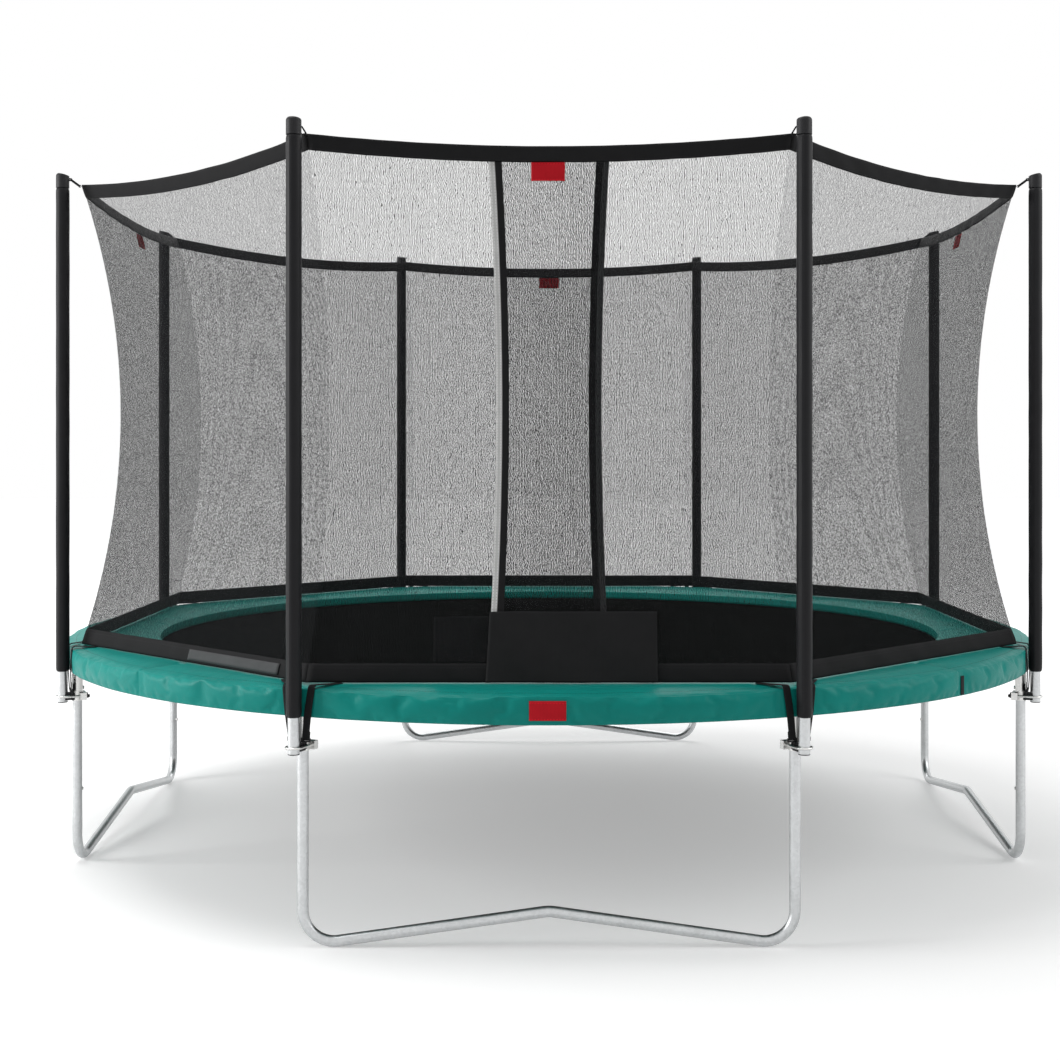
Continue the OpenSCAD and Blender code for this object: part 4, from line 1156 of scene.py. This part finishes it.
class TRAMPOLINE_OT_tags(bpy.types.Operator):
    """Sewn tags, all plain: red ones under the top band and on the skirt, a black one on the skirt and a
    grey patch on the bottom band."""
    bl_idname = "trampoline.tags"
    bl_label = "Sewn tags"

    def execute(self, context):
        n, p = settings().net, settings().pad
        # Width and height of each tag, the height of its foot, and how far it stands off the cloth
        net_tag = (0.104, 0.056)
        skirt_tag = (0.109, 0.058)
        black_tag = (0.02, 0.062)
        tag_foot = n.head - n.top_sag - n.top_band - 0.0555
        skirt_foot = 0.719
        black_foot = 0.708
        off_net = 0.0042
        off_skirt = 0.0016
        off_black = 0.0014
        off_band = 0.0052
        patch_span = (0.024, 0.536)
        patch_rise = (0.812, 0.846)
        cloth_t = 0.0012
        bulge = 0.004
        # The two tags at the front sit a few millimetres to the left of the middle
        net_shift, skirt_shift = 0.003, 0.004
        grids, uvs = [], []
        for i in (0, 2, 4, 6):
            x, y, lift = tag_grid(*net_tag, bulge, i)
            across = x - net_shift if i == 0 else -x
            grids.append(on_side(i, across, tag_foot + y, off_net + lift))
            uvs.append(np.stack([x, y], -1))
        x, y, lift = tag_grid(*skirt_tag, 0.0, 21)
        a = -math.pi / 2 + (x - skirt_shift) / p.outer_r
        grids.append(round_points(p.outer_r + off_skirt + lift, a, skirt_foot + y))
        uvs.append(np.stack([x, y], -1))
        pieces = [surface("red_tags", grids, "tag", uvs)]
        x, y, lift = tag_grid(*black_tag, 0.0, 22)
        black = round_points(p.outer_r + off_black + lift, BLACK_TAG_ANGLE + x / p.outer_r, black_foot + y)
        pieces.append(surface("skirt_tag", [black], "panel", [np.stack([y, x], -1)]))
        x, y = np.meshgrid(np.linspace(*patch_span, 33), np.linspace(*patch_rise, 5))
        pieces.append(surface("band_patch", [on_side(7, x, y, off_band)], "grey", [np.stack([x, y], -1)]))
        for piece in pieces:
            thicken(piece, cloth_t)
            carried(piece, "frame", "black_webbing")
        return {"FINISHED"}


def seen_rays(tree):
    """1 on rays that show a surface to the eye, directly, in a reflection or through a gap."""
    rays = put(tree, "ShaderNodeLightPath").outputs
    return maths(tree, "MAXIMUM", rays["Is Camera Ray"], rays["Is Glossy Ray"], rays["Is Transmission Ray"])


class TRAMPOLINE_OT_stage(bpy.types.Operator):
    """Camera, floor, white surroundings and soft studio lamps."""
    bl_idname = "trampoline.stage"
    bl_label = "Stage"

    def execute(self, context):
        scene = context.scene
        scene.view_settings.view_transform = "Standard"
        # The camera as it was fitted to the posts, in pixels of a picture 1060 wide
        picture = 1060
        focal = 1607
        right = -19
        up = -83
        view = bpy.data.cameras.new("Camera")
        view.sensor_width = 36
        view.sensor_fit = "HORIZONTAL"
        view.lens = view.sensor_width * focal / picture
        view.shift_x = right / picture
        view.shift_y = up / picture
        view.clip_end = 200
        camera = bpy.data.objects.new("Camera", view)
        camera.location = (0, -6.621, 1.523)
        camera.rotation_euler = (math.pi / 2, 0, 0)
        scene.collection.objects.link(camera)
        scene.camera = camera
        white = (1, 1, 1, 1)
        mat, tree, shader = material("painted_floor", Base_Color=tuple(settings().finish.floor),
                                     Roughness=0.9, Emission_Color=white)
        # The floor fades to the white of the surroundings outside the shadow of the object
        far = put(tree, "ShaderNodeVectorMath", {0: place(tree)}, operation="LENGTH").outputs["Value"]
        near_glow = 0.32
        far_glow = 0.71
        fade_start = 2.0
        fade_end = 9.0
        glow = spread(tree, far, near_glow, far_glow, fade_start, fade_end, "SMOOTHSTEP")
        tree.links.new(maths(tree, "MULTIPLY", seen_rays(tree), glow), shader.inputs["Emission Strength"])
        FINISHES["floor"] = mat
        k = np.linspace(-40, 40, 9)
        x, y = np.meshgrid(k, k, indexing="ij")
        surface("floor", [np.stack([x, y, 0 * x - 0.0005], -1)], "floor")
        world = bpy.data.worlds.new("White surroundings")
        scene.world = world
        world.use_nodes = True
        tree = world.node_tree
        tree.nodes.clear()
        power = spread(tree, seen_rays(tree), 0.35, 1.0)
        back = put(tree, "ShaderNodeBackground", {"Color": white, "Strength": power})
        put(tree, "ShaderNodeOutputWorld", {"Surface": back.outputs[0]})
        lamps = (("Top", (-2.5, -0.8, 8.5), 4.0, 330), ("Left", (-7.5, -2.2, 2.8), 3.0, 330),
                 ("Right", (6.5, -2.2, 4.5), 4.0, 150), ("Rim", (0.5, 6.5, 6.0), 5.0, 190))
        middle = (0, 0, 1.2)
        for name, spot, size, watts in lamps:
            lamp = bpy.data.lights.new(name, "AREA")
            lamp.size = size
            lamp.energy = watts
            source = bpy.data.objects.new(name, lamp)
            source.location = spot
            aim = np.array(middle) - np.array(spot)
            tilt = math.acos(-aim[2] / np.linalg.norm(aim))
            source.rotation_euler = (tilt, 0, math.atan2(aim[1], aim[0]) + 1.5 * math.pi)
            scene.collection.objects.link(source)
        return {"FINISHED"}


STEPS = (TRAMPOLINE_OT_stage, TRAMPOLINE_OT_frame, TRAMPOLINE_OT_sleeves, TRAMPOLINE_OT_mat,
         TRAMPOLINE_OT_springs, TRAMPOLINE_OT_pad, TRAMPOLINE_OT_net, TRAMPOLINE_OT_bands,
         TRAMPOLINE_OT_flaps, TRAMPOLINE_OT_straps, TRAMPOLINE_OT_tags)


class TRAMPOLINE_PT_sidebar(bpy.types.Panel):
    """Lists the pieces of the trampoline and its finishes."""
    bl_idname = "TRAMPOLINE_PT_sidebar"
    bl_label = "Trampoline"
    bl_space_type = "VIEW_3D"
    bl_region_type = "UI"
    bl_category = "Trampoline"

    def draw(self, context):
        column = self.layout.column()
        for step in STEPS:
            column.operator(step.bl_idname)
        for group in ("frame", "mat", "pad", "net", "finish"):
            box = column.box()
            owner = getattr(context.scene.trampoline, group)
            for name in owner.__annotations__:
                box.prop(owner, name)


CLASSES = (FrameSizes, MatSizes, PadSizes, NetSizes, Finishes, Trampoline, *STEPS, TRAMPOLINE_PT_sidebar)


def register():
    for cls in CLASSES:
        bpy.utils.register_class(cls)
    bpy.types.Scene.trampoline = bpy.props.PointerProperty(type=Trampoline)


def unregister():
    del bpy.types.Scene.trampoline
    for cls in reversed(CLASSES):
        bpy.utils.unregister_class(cls)


def main():
    register()
    for step in STEPS:
        group, name = step.bl_idname.split(".")
        getattr(getattr(bpy.ops, group), name)()


if __name__ == "__main__":
    main()
